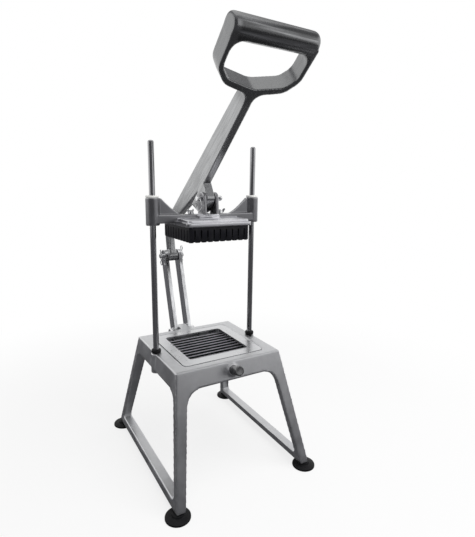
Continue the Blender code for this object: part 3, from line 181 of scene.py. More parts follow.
class Nodes:
    """A node tree, with short ways to add nodes and to link them."""

    def __init__(self, tree):
        self.tree = tree

    def node(self, kind, settings=None, inputs=None, output=0):
        made = self.tree.nodes.new(kind)
        for key, value in (settings or {}).items():
            setattr(made, key, value)
        for key, value in (inputs or {}).items():
            self.feed(made.inputs[key], value)
        return Value(self, made.outputs[output])

    def feed(self, socket, value):
        if isinstance(value, Value):
            self.tree.links.new(value.socket, socket)
        else:
            socket.default_value = value

    def seen(self):
        """1 for what the camera sees, in a reflection too, and 0 for light that falls on things."""
        path = self.tree.nodes.new("ShaderNodeLightPath")
        camera, glossy, clear = (Value(self, path.outputs[f"Is {kind} Ray"])
                                 for kind in ("Camera", "Glossy", "Transmission"))
        return camera + glossy + clear


class Finish(Nodes):
    """One material: a Principled shader and the nodes that feed it."""

    def __init__(self, name, metallic=0.0, roughness=0.5, colour=(0.5, 0.5, 0.5), sheen=0.5):
        self.material = bpy.data.materials.new(name)
        self.material.use_nodes = True
        super().__init__(self.material.node_tree)
        self.shader = self.tree.nodes["Principled BSDF"]
        self.shader.inputs["Metallic"].default_value = metallic
        self.shader.inputs["Roughness"].default_value = roughness
        self.shader.inputs["Base Color"].default_value = (*colour, 1.0)
        self.shader.inputs["Specular IOR Level"].default_value = sheen

    def set(self, **inputs):
        """Feeds the shader's inputs, named with an underscore for each space."""
        for key, value in inputs.items():
            self.feed(self.shader.inputs[key.replace("_", " ")], value)

    def show(self, surface):
        """Makes this shader the material's surface in place of the Principled one."""
        self.feed(self.tree.nodes["Material Output"].inputs["Surface"], surface)

    def place(self):
        return self.node("ShaderNodeTexCoord", output="Object")

    def along(self, axis):
        """The object coordinate along one axis."""
        return self.node("ShaderNodeSeparateXYZ", inputs={"Vector": self.place()}, output=axis)

    def edges(self, low, high):
        """1 on outer edges, 0 on flat faces and in corners."""
        return self.spread(self.node("ShaderNodeNewGeometry", output="Pointiness"), low, high)

    def noise(self, scale, detail=3.0, stretch=(1.0, 1.0, 1.0), turn=(0.0, 0.0, 0.0)):
        """Noise over the object's own coordinates, turned and then stretched."""
        turned = self.node("ShaderNodeMapping", inputs={"Vector": self.place(), "Rotation": turn})
        stretched = self.node("ShaderNodeMapping", inputs={"Vector": turned, "Scale": stretch})
        return self.node("ShaderNodeTexNoise", inputs={
            "Vector": stretched, "Scale": scale, "Detail": detail,
            "Roughness": NOISE_ROUGHNESS}, output="Fac")

    def spread(self, value, low, high, to_low=0.0, to_high=1.0):
        """A smooth step from one value to another while the input goes from low to high."""
        return self.node("ShaderNodeMapRange", {"interpolation_type": "SMOOTHSTEP"}, {
            "Value": value, "From Min": low, "From Max": high, "To Min": to_low, "To Max": to_high})

    def mix(self, factor, first, second):
        made = self.tree.nodes.new("ShaderNodeMix")
        made.data_type = "RGBA"
        self.feed(made.inputs["Factor"], factor)
        for socket, value in zip(MIX_COLOURS, (first, second)):
            self.feed(made.inputs[socket], value if isinstance(value, Value) else (*value, 1.0))
        return Value(self, made.outputs[MIX_RESULT])

    def bump(self, height, strength, distance, normal=None):
        inputs = {"Height": height, "Strength": strength, "Distance": distance}
        if normal:
            inputs["Normal"] = normal
        return self.node("ShaderNodeBump", inputs=inputs)


def shade(colour, factor):
    """A colour made paler or darker, but never brighter than white."""
    return tuple(min(1.0, part * factor) for part in colour)


# Finishes

PAINTED_EDGE_HIGHLIGHT = (0.93, 0.93, 0.94)    # painted highlight: the colour an edge is painted, as if it caught the light
STAND_ROUGHNESS = 0.40
GRAIN = 900.0                     # scale of the finest noise on castings
PLATE_PAINTED_LIGHT = 2.7                # painted light: how much paler the head's plate is painted than its bar
PLATE_SIDE = 0.001                # the plate's painted light fades over this width at its sides
PLATE_TOP = 0.0005                # and over this height at its top
GRIP_PAINTED_SHADE = (0.125, 0.100)        # the grip's painted shade sets in between these distances from its end
BAR_REFLECTIONS = (0.052, 0.030)      # and so do the painted reflection streaks on the grip's bar
BAR_ENDS = (0.012, 0.006)         # the painted reflection streaks stop between these distances from the bar's ends
ARM_LINES = math.radians(38)      # slope of the polishing lines on the lever's arm
EDGE_HIGHLIGHT_BAND = (1.15, 0.85)        # shares of a blade's ground edge over which its painted highlight band begins
EDGE_HIGHLIGHT_TONE = 3.3                 # how much paler that painted highlight is
ROW_GAP = 0.0001                  # the painted highlight stops this far above its own row's edge


def cast_finish(name, colour, roughness, rubbed=0.75, painted_light_plates=()):
    """Satin or polished casting: fine grain, soft blotches, painted edge highlights, and painted light on
    plates.
    """
    finish = Finish(name, metallic=1.0)
    blotches = finish.noise(38.0, detail=4.0)
    grain = finish.noise(GRAIN, detail=2.0)
    edges = finish.edges(0.505, 0.56)
    base = finish.mix(finish.spread(blotches, 0.35, 0.68), shade(colour, 0.93), shade(colour, 1.07))
    for half, top in painted_light_plates:
        # Painted light: the plate and the pedestal are painted paler
        base = finish.mix(plate_painted_light_mask(finish, half, top), base, shade(colour, PLATE_PAINTED_LIGHT))
    # Painted highlight on the edges, as strong as rubbed says
    base = finish.mix(edges * rubbed, base, PAINTED_EDGE_HIGHLIGHT)
    rough = finish.spread(blotches, 0.3, 0.7, roughness - 0.06, roughness + 0.07)
    rough = rough - edges * (roughness * 0.35) + grain * 0.05
    finish.set(Base_Color=base, Roughness=rough)
    fine = finish.bump(grain, 0.35, 0.00006)
    finish.set(Normal=finish.bump(blotches, 0.12, 0.0006, fine))
    return finish.material


def plate_painted_light_mask(finish, half, top):
    """Where painted light makes the head paler: 1 up to a height and a distance from the middle of the
    head, 0 beyond them.
    """
    inside = 1.0 - finish.spread(abs(finish.along("X")), half, half + PLATE_SIDE)
    return inside * (1.0 - finish.spread(finish.along("Z"), top, top + PLATE_TOP))


def lever_finish(name, colour, up, end, half):
    """Hand-polished casting: lines along the arm, painted shade on the grip, and painted reflection
    streaks along the grip's bar.
    """
    finish = Finish(name, metallic=1.0)
    along = finish.node("ShaderNodeVectorMath", {"operation": "DOT_PRODUCT"}, {0: finish.place(), 1: up},
                        output="Value")
    grip = finish.spread(along, end - GRIP_PAINTED_SHADE[0], end - GRIP_PAINTED_SHADE[1])
    bar = finish.spread(along, end - BAR_REFLECTIONS[0], end - BAR_REFLECTIONS[1])
    bar = bar * (1.0 - finish.spread(abs(finish.along("X")), half - BAR_ENDS[0], half - BAR_ENDS[1]))
    clouds = finish.noise(30.0, detail=4.0)
    arm_lines = finish.noise(60.0, detail=5.0, stretch=(6.0, 0.4, 6.0), turn=(ARM_LINES, 0.0, 0.0))
    bar_ripples_and_reflections = finish.noise(46.0, detail=4.0, stretch=(0.12, 2.9, 2.9))
    base = finish.mix(finish.spread(clouds, 0.35, 0.68), shade(colour, 0.96), shade(colour, 1.04))
    base = finish.mix(finish.spread(arm_lines, 0.35, 0.75) * 0.30, base, shade(colour, 0.45))
    # Painted shade: the grip is darker than the arm
    base = finish.mix(grip * 0.9, base, shade(colour, 0.55))
    # Painted reflection along the bar: dark bands of painted shade, pale bands of painted highlight
    base = finish.mix(finish.spread(bar_ripples_and_reflections, 0.45, 0.56) * bar * 0.8, base, shade(colour, 0.22))
    base = finish.mix(finish.spread(bar_ripples_and_reflections, 0.46, 0.36) * bar * 0.6, base, shade(colour, 1.4))
    edges = finish.edges(0.515, 0.56)
    # Painted highlight on the edges, left off the grip
    finish.set(Base_Color=finish.mix(edges * (1.0 - grip) * 0.6, base, PAINTED_EDGE_HIGHLIGHT))
    finish.set(Roughness=finish.spread(arm_lines, 0.3, 0.7, 0.24, 0.34))
    fine = finish.bump(finish.noise(GRAIN, detail=2.0), 0.25, 0.00002)
    finish.set(Normal=finish.bump(bar_ripples_and_reflections, 0.10, 0.0008, fine))
    return finish.material


def polished_steel(name, colour, along=(900.0, 900.0, 5.0)):
    """Drawn and polished steel, with fine lines along its length."""
    finish = Finish(name, metallic=1.0)
    lines = finish.noise(1.0, detail=4.0, stretch=along)
    clouds = finish.noise(30.0, detail=3.0)
    base = finish.mix(finish.spread(lines, 0.32, 0.70), shade(colour, 0.78), shade(colour, 1.22))
    base = finish.mix(finish.spread(clouds, 0.40, 0.72) * 0.35, base, shade(colour, 0.62))
    finish.set(Base_Color=base, Roughness=finish.spread(clouds, 0.3, 0.7, 0.13, 0.26))
    finish.set(Normal=finish.bump(lines, 0.03, 0.00002))
    return finish.material


def bright_steel(name, colour, roughness=0.10):
    """Plated small parts: pins, nuts, clips and screws."""
    finish = Finish(name, metallic=1.0)
    clouds = finish.noise(160.0, detail=4.0)
    scuffs = finish.noise(700.0, detail=2.0, stretch=(1.0, 0.25, 1.0))
    base = finish.mix(finish.spread(clouds, 0.38, 0.70), shade(colour, 0.80), shade(colour, 1.20))
    finish.set(Base_Color=base, Roughness=finish.spread(clouds, 0.3, 0.7, roughness, roughness + 0.12))
    finish.set(Normal=finish.bump(scuffs, 0.15, 0.00003))
    return finish.material


def blade_finish(name, colour, tops, edge):
    """Ground strip steel: sides darkened with painted shade, and a painted highlight band below each
    row's cutting edge.
    """
    finish = Finish(name, metallic=1.0)
    scratches = finish.noise(1.0, detail=3.0, stretch=(40.0, 40.0, 2600.0))
    height = finish.along("Z")
    ground = None
    for top in tops:
        # Painted highlight: a pale band below each row's cutting edge
        band = finish.spread(height, top - edge * EDGE_HIGHLIGHT_BAND[0], top - edge * EDGE_HIGHLIGHT_BAND[1])
        below = 1.0 - finish.spread(height, top, top + ROW_GAP)
        ground = band * below if ground is None else ground + band * below
    # Painted shade: the blade sides are darkened nearly to black, with scratches in it
    base = finish.mix(finish.spread(scratches, 0.3, 0.7), shade(colour, 0.16), shade(colour, 0.34))
    # the painted highlight band laid over the sides
    finish.set(Base_Color=finish.mix(ground, base, shade(colour, EDGE_HIGHLIGHT_TONE)))
    finish.set(Roughness=finish.spread(scratches, 0.3, 0.7, 0.26, 0.42))
    finish.set(Normal=finish.bump(scratches, 0.2, 0.00003))
    return finish.material


def rubber_finish(name, colour):
    """Moulded rubber with a fine skin and some dust."""
    finish = Finish(name, roughness=0.6, sheen=0.3)
    skin = finish.noise(1400.0, detail=2.0)
    dust = finish.noise(90.0, detail=5.0)
    dusty = tuple(part + 0.012 for part in colour)
    finish.set(Base_Color=finish.mix(finish.spread(dust, 0.45, 0.75) * 0.5, colour, dusty))
    finish.set(Roughness=finish.spread(dust, 0.3, 0.7, 0.48, 0.66))
    finish.set(Normal=finish.bump(skin, 0.3, 0.00005))
    return finish.material


def block_finish(name, colour):
    """Moulded black plastic, satin, paler where it is rubbed."""
    finish = Finish(name, roughness=0.38, sheen=0.3)
    skin = finish.noise(1100.0, detail=2.0)
    wear = finish.noise(70.0, detail=5.0)
    pale = tuple(part + 0.010 for part in colour)
    finish.set(Base_Color=finish.mix(finish.spread(wear, 0.45, 0.72) * 0.6, colour, pale))
    finish.set(Roughness=finish.spread(wear, 0.3, 0.7, 0.30, 0.46))
    finish.set(Normal=finish.bump(skin, 0.25, 0.00004))
    return finish.material


def nylon_finish(name, colour):
    """Turned white nylon with faint tool rings."""
    finish = Finish(name, roughness=0.45)
    rings = finish.noise(1.0, detail=2.0, stretch=(120.0, 120.0, 2200.0))
    stain = finish.noise(150.0, detail=3.0)
    finish.set(Base_Color=finish.mix(finish.spread(stain, 0.45, 0.75) * 0.5, colour, shade(colour, 0.88)))
    finish.set(Roughness=finish.spread(stain, 0.3, 0.7, 0.38, 0.52))
    finish.set(Normal=finish.bump(rings, 0.2, 0.00003))
    return finish.material


# Mesh helpers

def node_middle(node):
    low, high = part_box(node)
    return (Vector(low) + Vector(high)) / 2


def node_size(node):
    low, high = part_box(node)
    return Vector(high) - Vector(low)


def node_form(node):
    """The merged shape of a CAD node, as a starting block."""
    form = bmesh.new()
    form.from_mesh(frame["nodes"][node].data)
    bmesh.ops.remove_doubles(form, verts=form.verts, dist=0.000002)
    bmesh.ops.dissolve_limit(form, angle_limit=math.radians(0.05), verts=form.verts, edges=form.edges)
    return form


def piece_from(form, name, body, material, replaced, sharp=None):
    """Makes a shape a finished piece that rides on a body and stands for its CAD nodes."""
    mesh = bpy.data.meshes.new(name)
    form.to_mesh(mesh)
    form.free()
    mesh.shade_smooth()
    if sharp:
        mesh.set_sharp_from_angle(angle=math.radians(sharp))
    mesh.materials.append(material)
    piece = bpy.data.objects.new(name, mesh)
    bpy.context.scene.collection.objects.link(piece)
    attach(piece, body)
    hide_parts(*replaced)
    return piece


def voxel_form(node, grain):
    """A node's shape as one even skin of small faces, ready to be smoothed."""
    form = node_form(node)
    mesh = bpy.data.meshes.new("rough")
    form.to_mesh(mesh)
    form.free()
    rough = bpy.data.objects.new("rough", mesh)
    bpy.context.scene.collection.objects.link(rough)
    skin = rough.modifiers.new("skin", "REMESH")
    skin.mode = "VOXEL"
    skin.voxel_size = grain
    graph = bpy.context.evaluated_depsgraph_get()
    even = bpy.data.meshes.new_from_object(rough.evaluated_get(graph))
    form = bmesh.new()
    form.from_mesh(even)
    bpy.data.objects.remove(rough)
    for used in (mesh, even):
        bpy.data.meshes.remove(used)
    return form


def casting(node, name, body, material, grain, passes):
    """A casting's shape with the rounded inner and outer corners that a mould gives."""
    piece = piece_from(node_form(node), name, body, material, [node])
    skin = piece.modifiers.new("cast skin", "REMESH")
    skin.mode = "VOXEL"
    skin.voxel_size = grain
    skin.use_smooth_shade = True
    soft = piece.modifiers.new("cast fillets", "SMOOTH")
    soft.factor = 0.5
    soft.iterations = passes


def edged(node, name, body, material, width, segments=2):
    """A machined piece whose edges are broken by a small radius."""
    piece = piece_from(node_form(node), name, body, material, [node], sharp=30)
    bevel = piece.modifiers.new("broken edges", "BEVEL")
    bevel.width = width
    bevel.segments = segments
    bevel.limit_method = "ANGLE"
    bevel.angle_limit = math.radians(30)
    bevel.harden_normals = True


def arc_corner(before, corner, after, radius, steps):
    """The points of a rounded corner between two straight runs."""
    back = (before - corner).normalized()
    ahead = (after - corner).normalized()
    half = back.angle(ahead) / 2
    centre = corner + (back + ahead).normalized() * (radius / math.sin(half))
    start = corner + back * (radius / math.tan(half)) - centre
    sweep = math.pi - 2 * half
    if back.x * ahead.y - back.y * ahead.x > 0:
        sweep = -sweep
    return [centre + Matrix.Rotation(sweep * step / steps, 2) @ start for step in range(steps + 1)]


def rounded_profile(corners, steps=5):
    """The points of a profile, from its corners as (radius, height, rounding)."""
    points = []
    for index, (x, y, rounding) in enumerate(corners):
        here = Vector((x, y))
        if rounding > 0.0:
            before = Vector(corners[index - 1][:2])
            after = Vector(corners[(index + 1) % len(corners)][:2])
            points += arc_corner(before, here, after, rounding, steps)
        else:
            points.append(here)
    return points


def turned(profile, sides=72, closed=False):
    """A turned shape about the Z axis from a profile of (radius, height)."""
    form = bmesh.new()
    verts = [form.verts.new((x, 0.0, z)) for x, z in profile]
    edges = [form.edges.new(pair) for pair in zip(verts, verts[1:])]
    if closed:
        edges.append(form.edges.new((verts[-1], verts[0])))
    bmesh.ops.spin(form, geom=verts + edges, cent=(0.0, 0.0, 0.0), axis=(0.0, 0.0, 1.0),
                   angle=2 * math.pi, steps=sides, use_merge=True)
    bmesh.ops.remove_doubles(form, verts=form.verts, dist=0.000001)
    bmesh.ops.recalc_face_normals(form, faces=form.faces)
    return form


def stand_up(form, place, axis=Z_AXIS):
    """Moves a shape from the origin to its place, with its own Z along the axis."""
    turn = Z_AXIS.rotation_difference(axis).to_matrix().to_4x4()
    bmesh.ops.transform(form, matrix=Matrix.Translation(place) @ turn, verts=form.verts)
    return form


# Pieces

class CHOPPER_OT_stand(bpy.types.Operator):
    """Casts the stand with its soft corners and gives it a satin finish"""
    bl_idname = "chopper.stand"
    bl_label = "Stand"
    PASSES = 5    # of smoothing, for the casting's round corners

    def execute(self, context):
        settings = context.scene.chopper_casting
        # rubbed sets how strongly the stand's edges get their painted highlight
        finish = cast_finish("satin stand casting", settings.stand_colour, STAND_ROUGHNESS, rubbed=0.4)
        casting("base_frame", "stand_casting", "stand", finish, settings.stand_grain, self.PASSES)
        return {"FINISHED"}


class CHOPPER_OT_cassette(bpy.types.Operator):
    """Builds the blade plate and the two rows of ground blades"""
    bl_idname = "chopper.cassette"
    bl_label = "Blade cassette"
    PLATE_EDGE = 0.0005
    ROWS = ("upper", "lower")
    BLADES = 9      # in a row
    WEDGE = 0.8     # share of its thickness that a blade loses at its cutting edge

    def execute(self, context):
        settings = context.scene.chopper_steel
        colour = context.scene.chopper_casting.stand_colour
        plate = cast_finish("blade plate casting", colour, STAND_ROUGHNESS, rubbed=0.0)
        edged("blade_frame", "blade_plate", "stand", plate, self.PLATE_EDGE)
        form = bmesh.new()
        names = [f"{row}_blade_{number}" for row in self.ROWS for number in range(1, self.BLADES + 1)]
        for name in names:
            self.add_blade(form, name, settings.blade_edge)
        tops = [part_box(row + "_blade_1")[1][2] for row in self.ROWS]
        finish = blade_finish("ground blade steel", settings.blade_colour, tops, settings.blade_edge)
        piece_from(form, "blade_rows", "stand", finish, names, sharp=20)
        return {"FINISHED"}

    def add_blade(self, form, node, edge):
        """A strip as large as its CAD node, ground to a wedge along its top."""
        middle, size = node_middle(node), node_size(node)
        strip = bmesh.new()
        bmesh.ops.create_cube(strip, size=1.0)
        bmesh.ops.scale(strip, vec=size, verts=strip.verts)
        side = X_AXIS if size.x < size.y else Y_AXIS
        bmesh.ops.bisect_plane(strip, geom=strip.verts[:] + strip.edges[:] + strip.faces[:],
                               plane_co=(0.0, 0.0, size.z / 2 - edge), plane_no=(0.0, 0.0, 1.0))
        for vert in strip.verts:
            if vert.co.z > size.z / 2 - edge / 2:
                vert.co -= side * vert.co.dot(side) * self.WEDGE
        bmesh.ops.translate(strip, vec=middle, verts=strip.verts)
        mesh = bpy.data.meshes.new("strip")
        strip.to_mesh(mesh)
        strip.free()
        form.from_mesh(mesh)
        bpy.data.meshes.remove(mesh)


class CHOPPER_OT_rods(bpy.types.Operator):
    """Turns the two domed guide rods and the rubber bumpers at their feet"""
    bl_idname = "chopper.rods"
    bl_label = "Guide rods"
    DOME = 0.62                     # height of a rod's dome, as a share of its radius
    BUMPER_FIT = 0.0001             # room between a bumper and its rod
    BUMPER_ROUND = (0.0014, 0.0022, 0.0004)    # roundings: low rim, top rim, top of the bore

    def execute(self, context):
        steel = context.scene.chopper_steel
        finish = polished_steel("polished rod steel", steel.rod_colour)
        rubber = rubber_finish("bumper rubber", context.scene.chopper_soft.rubber_colour)
        for side in SIDES:
            self.add_rod(side, finish)
            self.add_bumper(side, rubber)
        return {"FINISHED"}

    def add_rod(self, side, finish):
        node = side + "_guide_rod"
        middle, size = node_middle(node), node_size(node)
        radius, top, low = size.x / 2, middle.z + size.z / 2, middle.z - size.z / 2
        dome = [(radius * math.sin(turn), top - radius * self.DOME * (1 - math.cos(turn)))
                for turn in (math.radians(9 * step) for step in range(11))]
        profile = dome + [(radius, low), (0.0, low)]
        form = stand_up(turned(profile, 64), Vector((middle.x, middle.y, 0.0)))
        piece_from(form, side + "_rod", "stand", finish, [node], sharp=40)

    def add_bumper(self, side, finish):
        node = side + "_bumper"
        middle, size = node_middle(node), node_size(node)
        outer, half = size.x / 2, size.z / 2
        inner = node_size(side + "_guide_rod").x / 2 + self.BUMPER_FIT
        low, high, bore = self.BUMPER_ROUND
        profile = rounded_profile([(inner, -half, 0), (outer, -half, low), (outer, half, high),
                                   (inner, half, bore)], steps=6)
        form = stand_up(turned(profile, 64, closed=True), middle)
        piece_from(form, side + "_stop_ring", "stand", finish, [node], sharp=50)


class CHOPPER_OT_feet(bpy.types.Operator):
    """Turns the four rubber feet"""
    bl_idname = "chopper.feet"
    bl_label = "Feet"
    NECK, RIM = 0.45, 0.42                    # shares of the foot's radius and height
    NECK_SPREAD, RIM_RISE = 0.0010, 0.0016    # how the neck widens, and the rim rises towards it
    HOLE, POCKET = 0.0026, 0.0048             # radii of the screw's hole and of the pocket for its head
    POCKET_TOP = 0.0040
    TREAD, TREAD_SLOPE = 0.004, 0.001         # widths of the ring that stands on the counter
    HOLLOW = 0.0008                           # height of the sole's hollow inside that ring

    def execute(self, context):
        rubber = rubber_finish("foot rubber", context.scene.chopper_soft.rubber_colour)
        for row in ("front", "rear"):
            for side in SIDES:
                self.add_foot(f"{row}_{side}_foot", rubber)
        return {"FINISHED"}

    def add_foot(self, node, finish):
        middle, size = node_middle(node), node_size(node)
        outer, top = size.x / 2, size.z
        neck, rim = outer * self.NECK, top * self.RIM
        tread = outer - self.TREAD
        profile = rounded_profile([
            (self.HOLE, top, 0), (neck, top, 0.0008),
            (neck + self.NECK_SPREAD, rim + self.RIM_RISE, 0.0012), (outer, rim, 0.0011),
            (outer, 0.0, 0.0006), (tread, 0.0, 0.0002),
            (tread - self.TREAD_SLOPE, self.HOLLOW, 0.0002), (self.POCKET, self.HOLLOW, 0),
            (self.POCKET, self.POCKET_TOP, 0), (self.HOLE, self.POCKET_TOP, 0)])
        form = stand_up(turned(profile, 72, closed=True), Vector((middle.x, middle.y, 0.0)))
        piece_from(form, node + "_pad", "stand", finish, [node], sharp=45)


class CHOPPER_OT_lock_knob(bpy.types.Operator):
    """Turns the thumb screw on the stand's front"""
    bl_idname = "chopper.lock_knob"
    bl_label = "Lock knob"
    TONE = 0.30                           # share of the links' colour; darkening the whole knob this way is painted shade
    START, END = 0.0049, 0.0250           # of the knob along its axis
    RADIUS, SHANK = 0.0077, 0.0029        # radii of the knob and of its shank
    SHANK_LENGTH = 0.030
    DEPTH, SLOPE = 0.0006, 0.0004         # of the dished end and of the groove
    RIM = 0.0020                          # width of the rim round the dished end
    GROOVE = (0.0014, 0.0030)             # where the groove begins and ends, from the knob's start
    FINE, MILD, FULL = 0.0002, 0.0004, 0.0011    # roundings

    def execute(self, context):
        joints = frame["record"]["behaviour"]["joints"]
        joint = next(item for item in joints if item["child"] == "lock_knob")
        colour = shade(context.scene.chopper_steel.link_colour, self.TONE)
        # Painted shade: the knob is a darker copy of the plated steel
        finish = bright_steel("lock knob steel", colour, 0.20)
        form = stand_up(turned(self.profile(), 80), Vector(joint["pos_m"]), Vector(joint["axis"]))
        piece_from(form, "thumb_screw", "lock_knob", finish, ["lock_knob"], sharp=40)
        return {"FINISHED"}

    def profile(self):
        """From the middle of the dished end, over the rim and the groove, to the shank's end."""
        start, end, radius = self.START, self.END, self.RADIUS
        floor, dish, tip = radius - self.DEPTH, radius - self.RIM, start - self.SHANK_LENGTH
        near, far = start + self.GROOVE[0], start + self.GROOVE[1]
        return rounded_profile([
            (0.0, end - self.DEPTH, 0), (dish - self.SLOPE, end - self.DEPTH, self.FINE),
            (dish, end, self.FINE), (radius, end, self.FULL), (radius, far, self.MILD),
            (floor, far - self.SLOPE, self.FINE), (floor, near + self.SLOPE, self.FINE),
            (radius, near, self.MILD), (radius, start, self.MILD), (self.SHANK, start, 0),
            (self.SHANK, tip, 0), (0.0, tip, 0)], steps=4)


class CHOPPER_OT_head(bpy.types.Operator):
    """Casts the pusher head, its bushes and the finned block"""
    bl_idname = "chopper.head"
    bl_label = "Pusher head"
    PASSES = 6
    PLATE_REST, PLATE_RISE = 0.0015, 0.0110           # the plate painted paler as painted light, beyond the block, sideways and up
    PEDESTAL_REACH, PEDESTAL_RISE = 0.0196, 0.0172    # the pedestal painted paler as painted light: its radius, and its top
    TIP_CHAMFER, TIP_SLOPE = 0.0013, 1.5              # a finger's chamfer: width, and height over width
    BUSH_BARREL, BUSH_FLANGE = 0.0070, 0.0030         # the barrel's radius, and the flange's height
    BUSH_FIT = 0.0002                                 # room between a bush and its rod

    def execute(self, context):
        settings = context.scene.chopper_casting
        block_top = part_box("pusher_block")[1]
        # Painted light on the head's plate and pedestal, and painted highlights on its edges
        finish = cast_finish("head casting", settings.head_colour, 0.34,
                             painted_light_plates=((block_top[0] + self.PLATE_REST, block_top[2] + self.PLATE_RISE),
                                     (self.PEDESTAL_REACH, block_top[2] + self.PEDESTAL_RISE)))
        casting("crosshead", "head_casting", "head", finish, settings.small_grain, self.PASSES)
        soft = context.scene.chopper_soft
        self.add_block(block_finish("block plastic", soft.block_colour))
        nylon = nylon_finish("bush nylon", soft.nylon_colour)
        for side in SIDES:
            self.add_bush(side, nylon)
        return {"FINISHED"}

    def add_block(self, finish):
        """The finned block, with the tip of each finger chamfered."""
        form = node_form("pusher_block")
        lowest = min(vert.co.z for vert in form.verts) + 0.0001
        tips = [face for face in form.faces
                if face.normal.z < -0.9 and face.calc_center_median().z < lowest]
        bmesh.ops.inset_individual(form, faces=tips, thickness=self.TIP_CHAMFER, use_even_offset=True)
        kept = {vert for face in tips for vert in face.verts}
        for vert in form.verts:
            if vert not in kept and vert.co.z < lowest:
                vert.co.z += self.TIP_CHAMFER * self.TIP_SLOPE
        piece_from(form, "finned_block", "head", finish, ["pusher_block"], sharp=30)

    def add_bush(self, side, finish):
        node = side + "_bush"
        middle, size = node_middle(node), node_size(node)
        outer, top, low = size.x / 2, size.z / 2, -size.z / 2
        inner = node_size(side + "_guide_rod").x / 2 + self.BUSH_FIT
        flange = top - self.BUSH_FLANGE
        profile = rounded_profile([
            (inner, low, 0), (self.BUSH_BARREL, low, 0.0003), (self.BUSH_BARREL, flange, 0),
            (outer, flange, 0.0004), (outer, top, 0.0009), (inner, top, 0.0004)], steps=4)
        form = stand_up(turned(profile, 64, closed=True), middle)
        piece_from(form, side + "_flanged_bush", "head", finish, [node], sharp=40)


class CHOPPER_OT_fasteners(bpy.types.Operator):
    """Dresses the pins, nuts, screws, washers, clips, ring and wing nuts"""
    bl_idname = "chopper.fasteners"
    bl_label = "Fasteners"
    TONE = 1.22                               # share of the links' colour
    WING_GRAIN, WING_PASSES = 0.00032, 3
    THIN_EDGE, PIN_EDGE = 0.6, 0.5            # shares of the usual edge, on washers and on the head's pin
    RING_WIRE = 0.0008                        # radius of the ring's wire

    def execute(self, context):
        steel = context.scene.chopper_steel
        finish = bright_steel("plated steel", shade(steel.link_colour, self.TONE))
        for side in SIDES:
            wing = side + "_wing"
            casting(side + "_wing_nut", wing, wing, finish, self.WING_GRAIN, self.WING_PASSES)
            edged(side + "_rod_nut", side + "_lock_nut", "stand", finish, steel.edge)
            edged(side + "_washer", side + "_flat_washer", "stand", finish, steel.edge * self.THIN_EDGE)
            for node in (side + "_stud", side + "_clip"):
                self.dress(node, finish)
        edged("pivot_nut", "hinge_nut", "stand", finish, steel.edge)
        edged("pivot_bolt", "hinge_bolt", "stand", finish, steel.edge)
        edged("link_pin", "upper_pin", "links", finish, steel.edge)
        edged("head_pin", "clevis_pin", "head", finish, steel.edge * self.PIN_EDGE)
        for row in ("front", "rear"):
            for side in SIDES:
                self.dress(f"{row}_{side}_foot_screw", finish)
        self.add_ring(finish)
        return {"FINISHED"}

    def dress(self, node, finish):
        """Gives a CAD node that shows as it is its material."""
        mesh = frame["nodes"][node].data
        mesh.materials.clear()
        mesh.materials.append(finish)

    def add_ring(self, finish):
        middle, size = node_middle("head_pin_ring"), node_size("head_pin_ring")
        radius = size.y / 2 - size.x / 2
        wire = self.RING_WIRE
        profile = [(radius + wire * math.cos(turn), wire * math.sin(turn))
                   for turn in (math.radians(22.5 * step) for step in range(16))]
        form = stand_up(turned(profile, 72, closed=True), middle, X_AXIS)
        piece_from(form, "wire_ring", "pin_ring", finish, ["head_pin_ring"])


class CHOPPER_OT_links(bpy.types.Operator):
    """Builds the two flat links behind the stand"""
    bl_idname = "chopper.links"
    bl_label = "Links"
    EDGE = 0.0010

    def execute(self, context):
        steel = context.scene.chopper_steel
        finish = polished_steel("bright link steel", steel.link_colour, along=(500.0, 160.0, 9.0))
        for side in SIDES:
            edged(side + "_link", side + "_link_bar", "links", finish, self.EDGE, segments=3)
        return {"FINISHED"}


class CHOPPER_OT_lever(bpy.types.Operator):
    """Casts the long lever and its D-shaped grip, whose corners flow into each other"""
    bl_idname = "chopper.lever"
    bl_label = "Lever"
    RISE = math.radians(41.1)    # slope of the arm
    ARM_PASSES = 8               # of smoothing, over the whole lever
    GRIP_PASSES = 14             # of smoothing, over the grip alone
    PASS_STEP = 0.0006           # each of these reaches this much further up the arm

    def execute(self, context):
        settings = context.scene.chopper_casting
        low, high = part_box("lever")
        up = Vector((0.0, -math.cos(self.RISE), math.sin(self.RISE)))
        grip_end = Vector((0.0, low[1], high[2])).dot(up)
        finish = lever_finish("polished lever casting", settings.lever_colour, up, grip_end, high[0])
        form = voxel_form("lever", settings.small_grain)
        for turn in range(self.ARM_PASSES):
            self.smooth(form, form.verts)
        for turn in range(self.GRIP_PASSES):
            start = grip_end - settings.grip_length + self.PASS_STEP * (self.GRIP_PASSES - turn)
            self.smooth(form, [vert for vert in form.verts if vert.co.dot(up) > start])
        piece_from(form, "lever_casting", "lever", finish, ["lever"])
        return {"FINISHED"}

    def smooth(self, form, verts):
        bmesh.ops.smooth_vert(form, verts=verts, factor=0.5,
                              use_axis_x=True, use_axis_y=True, use_axis_z=True)


# Stage

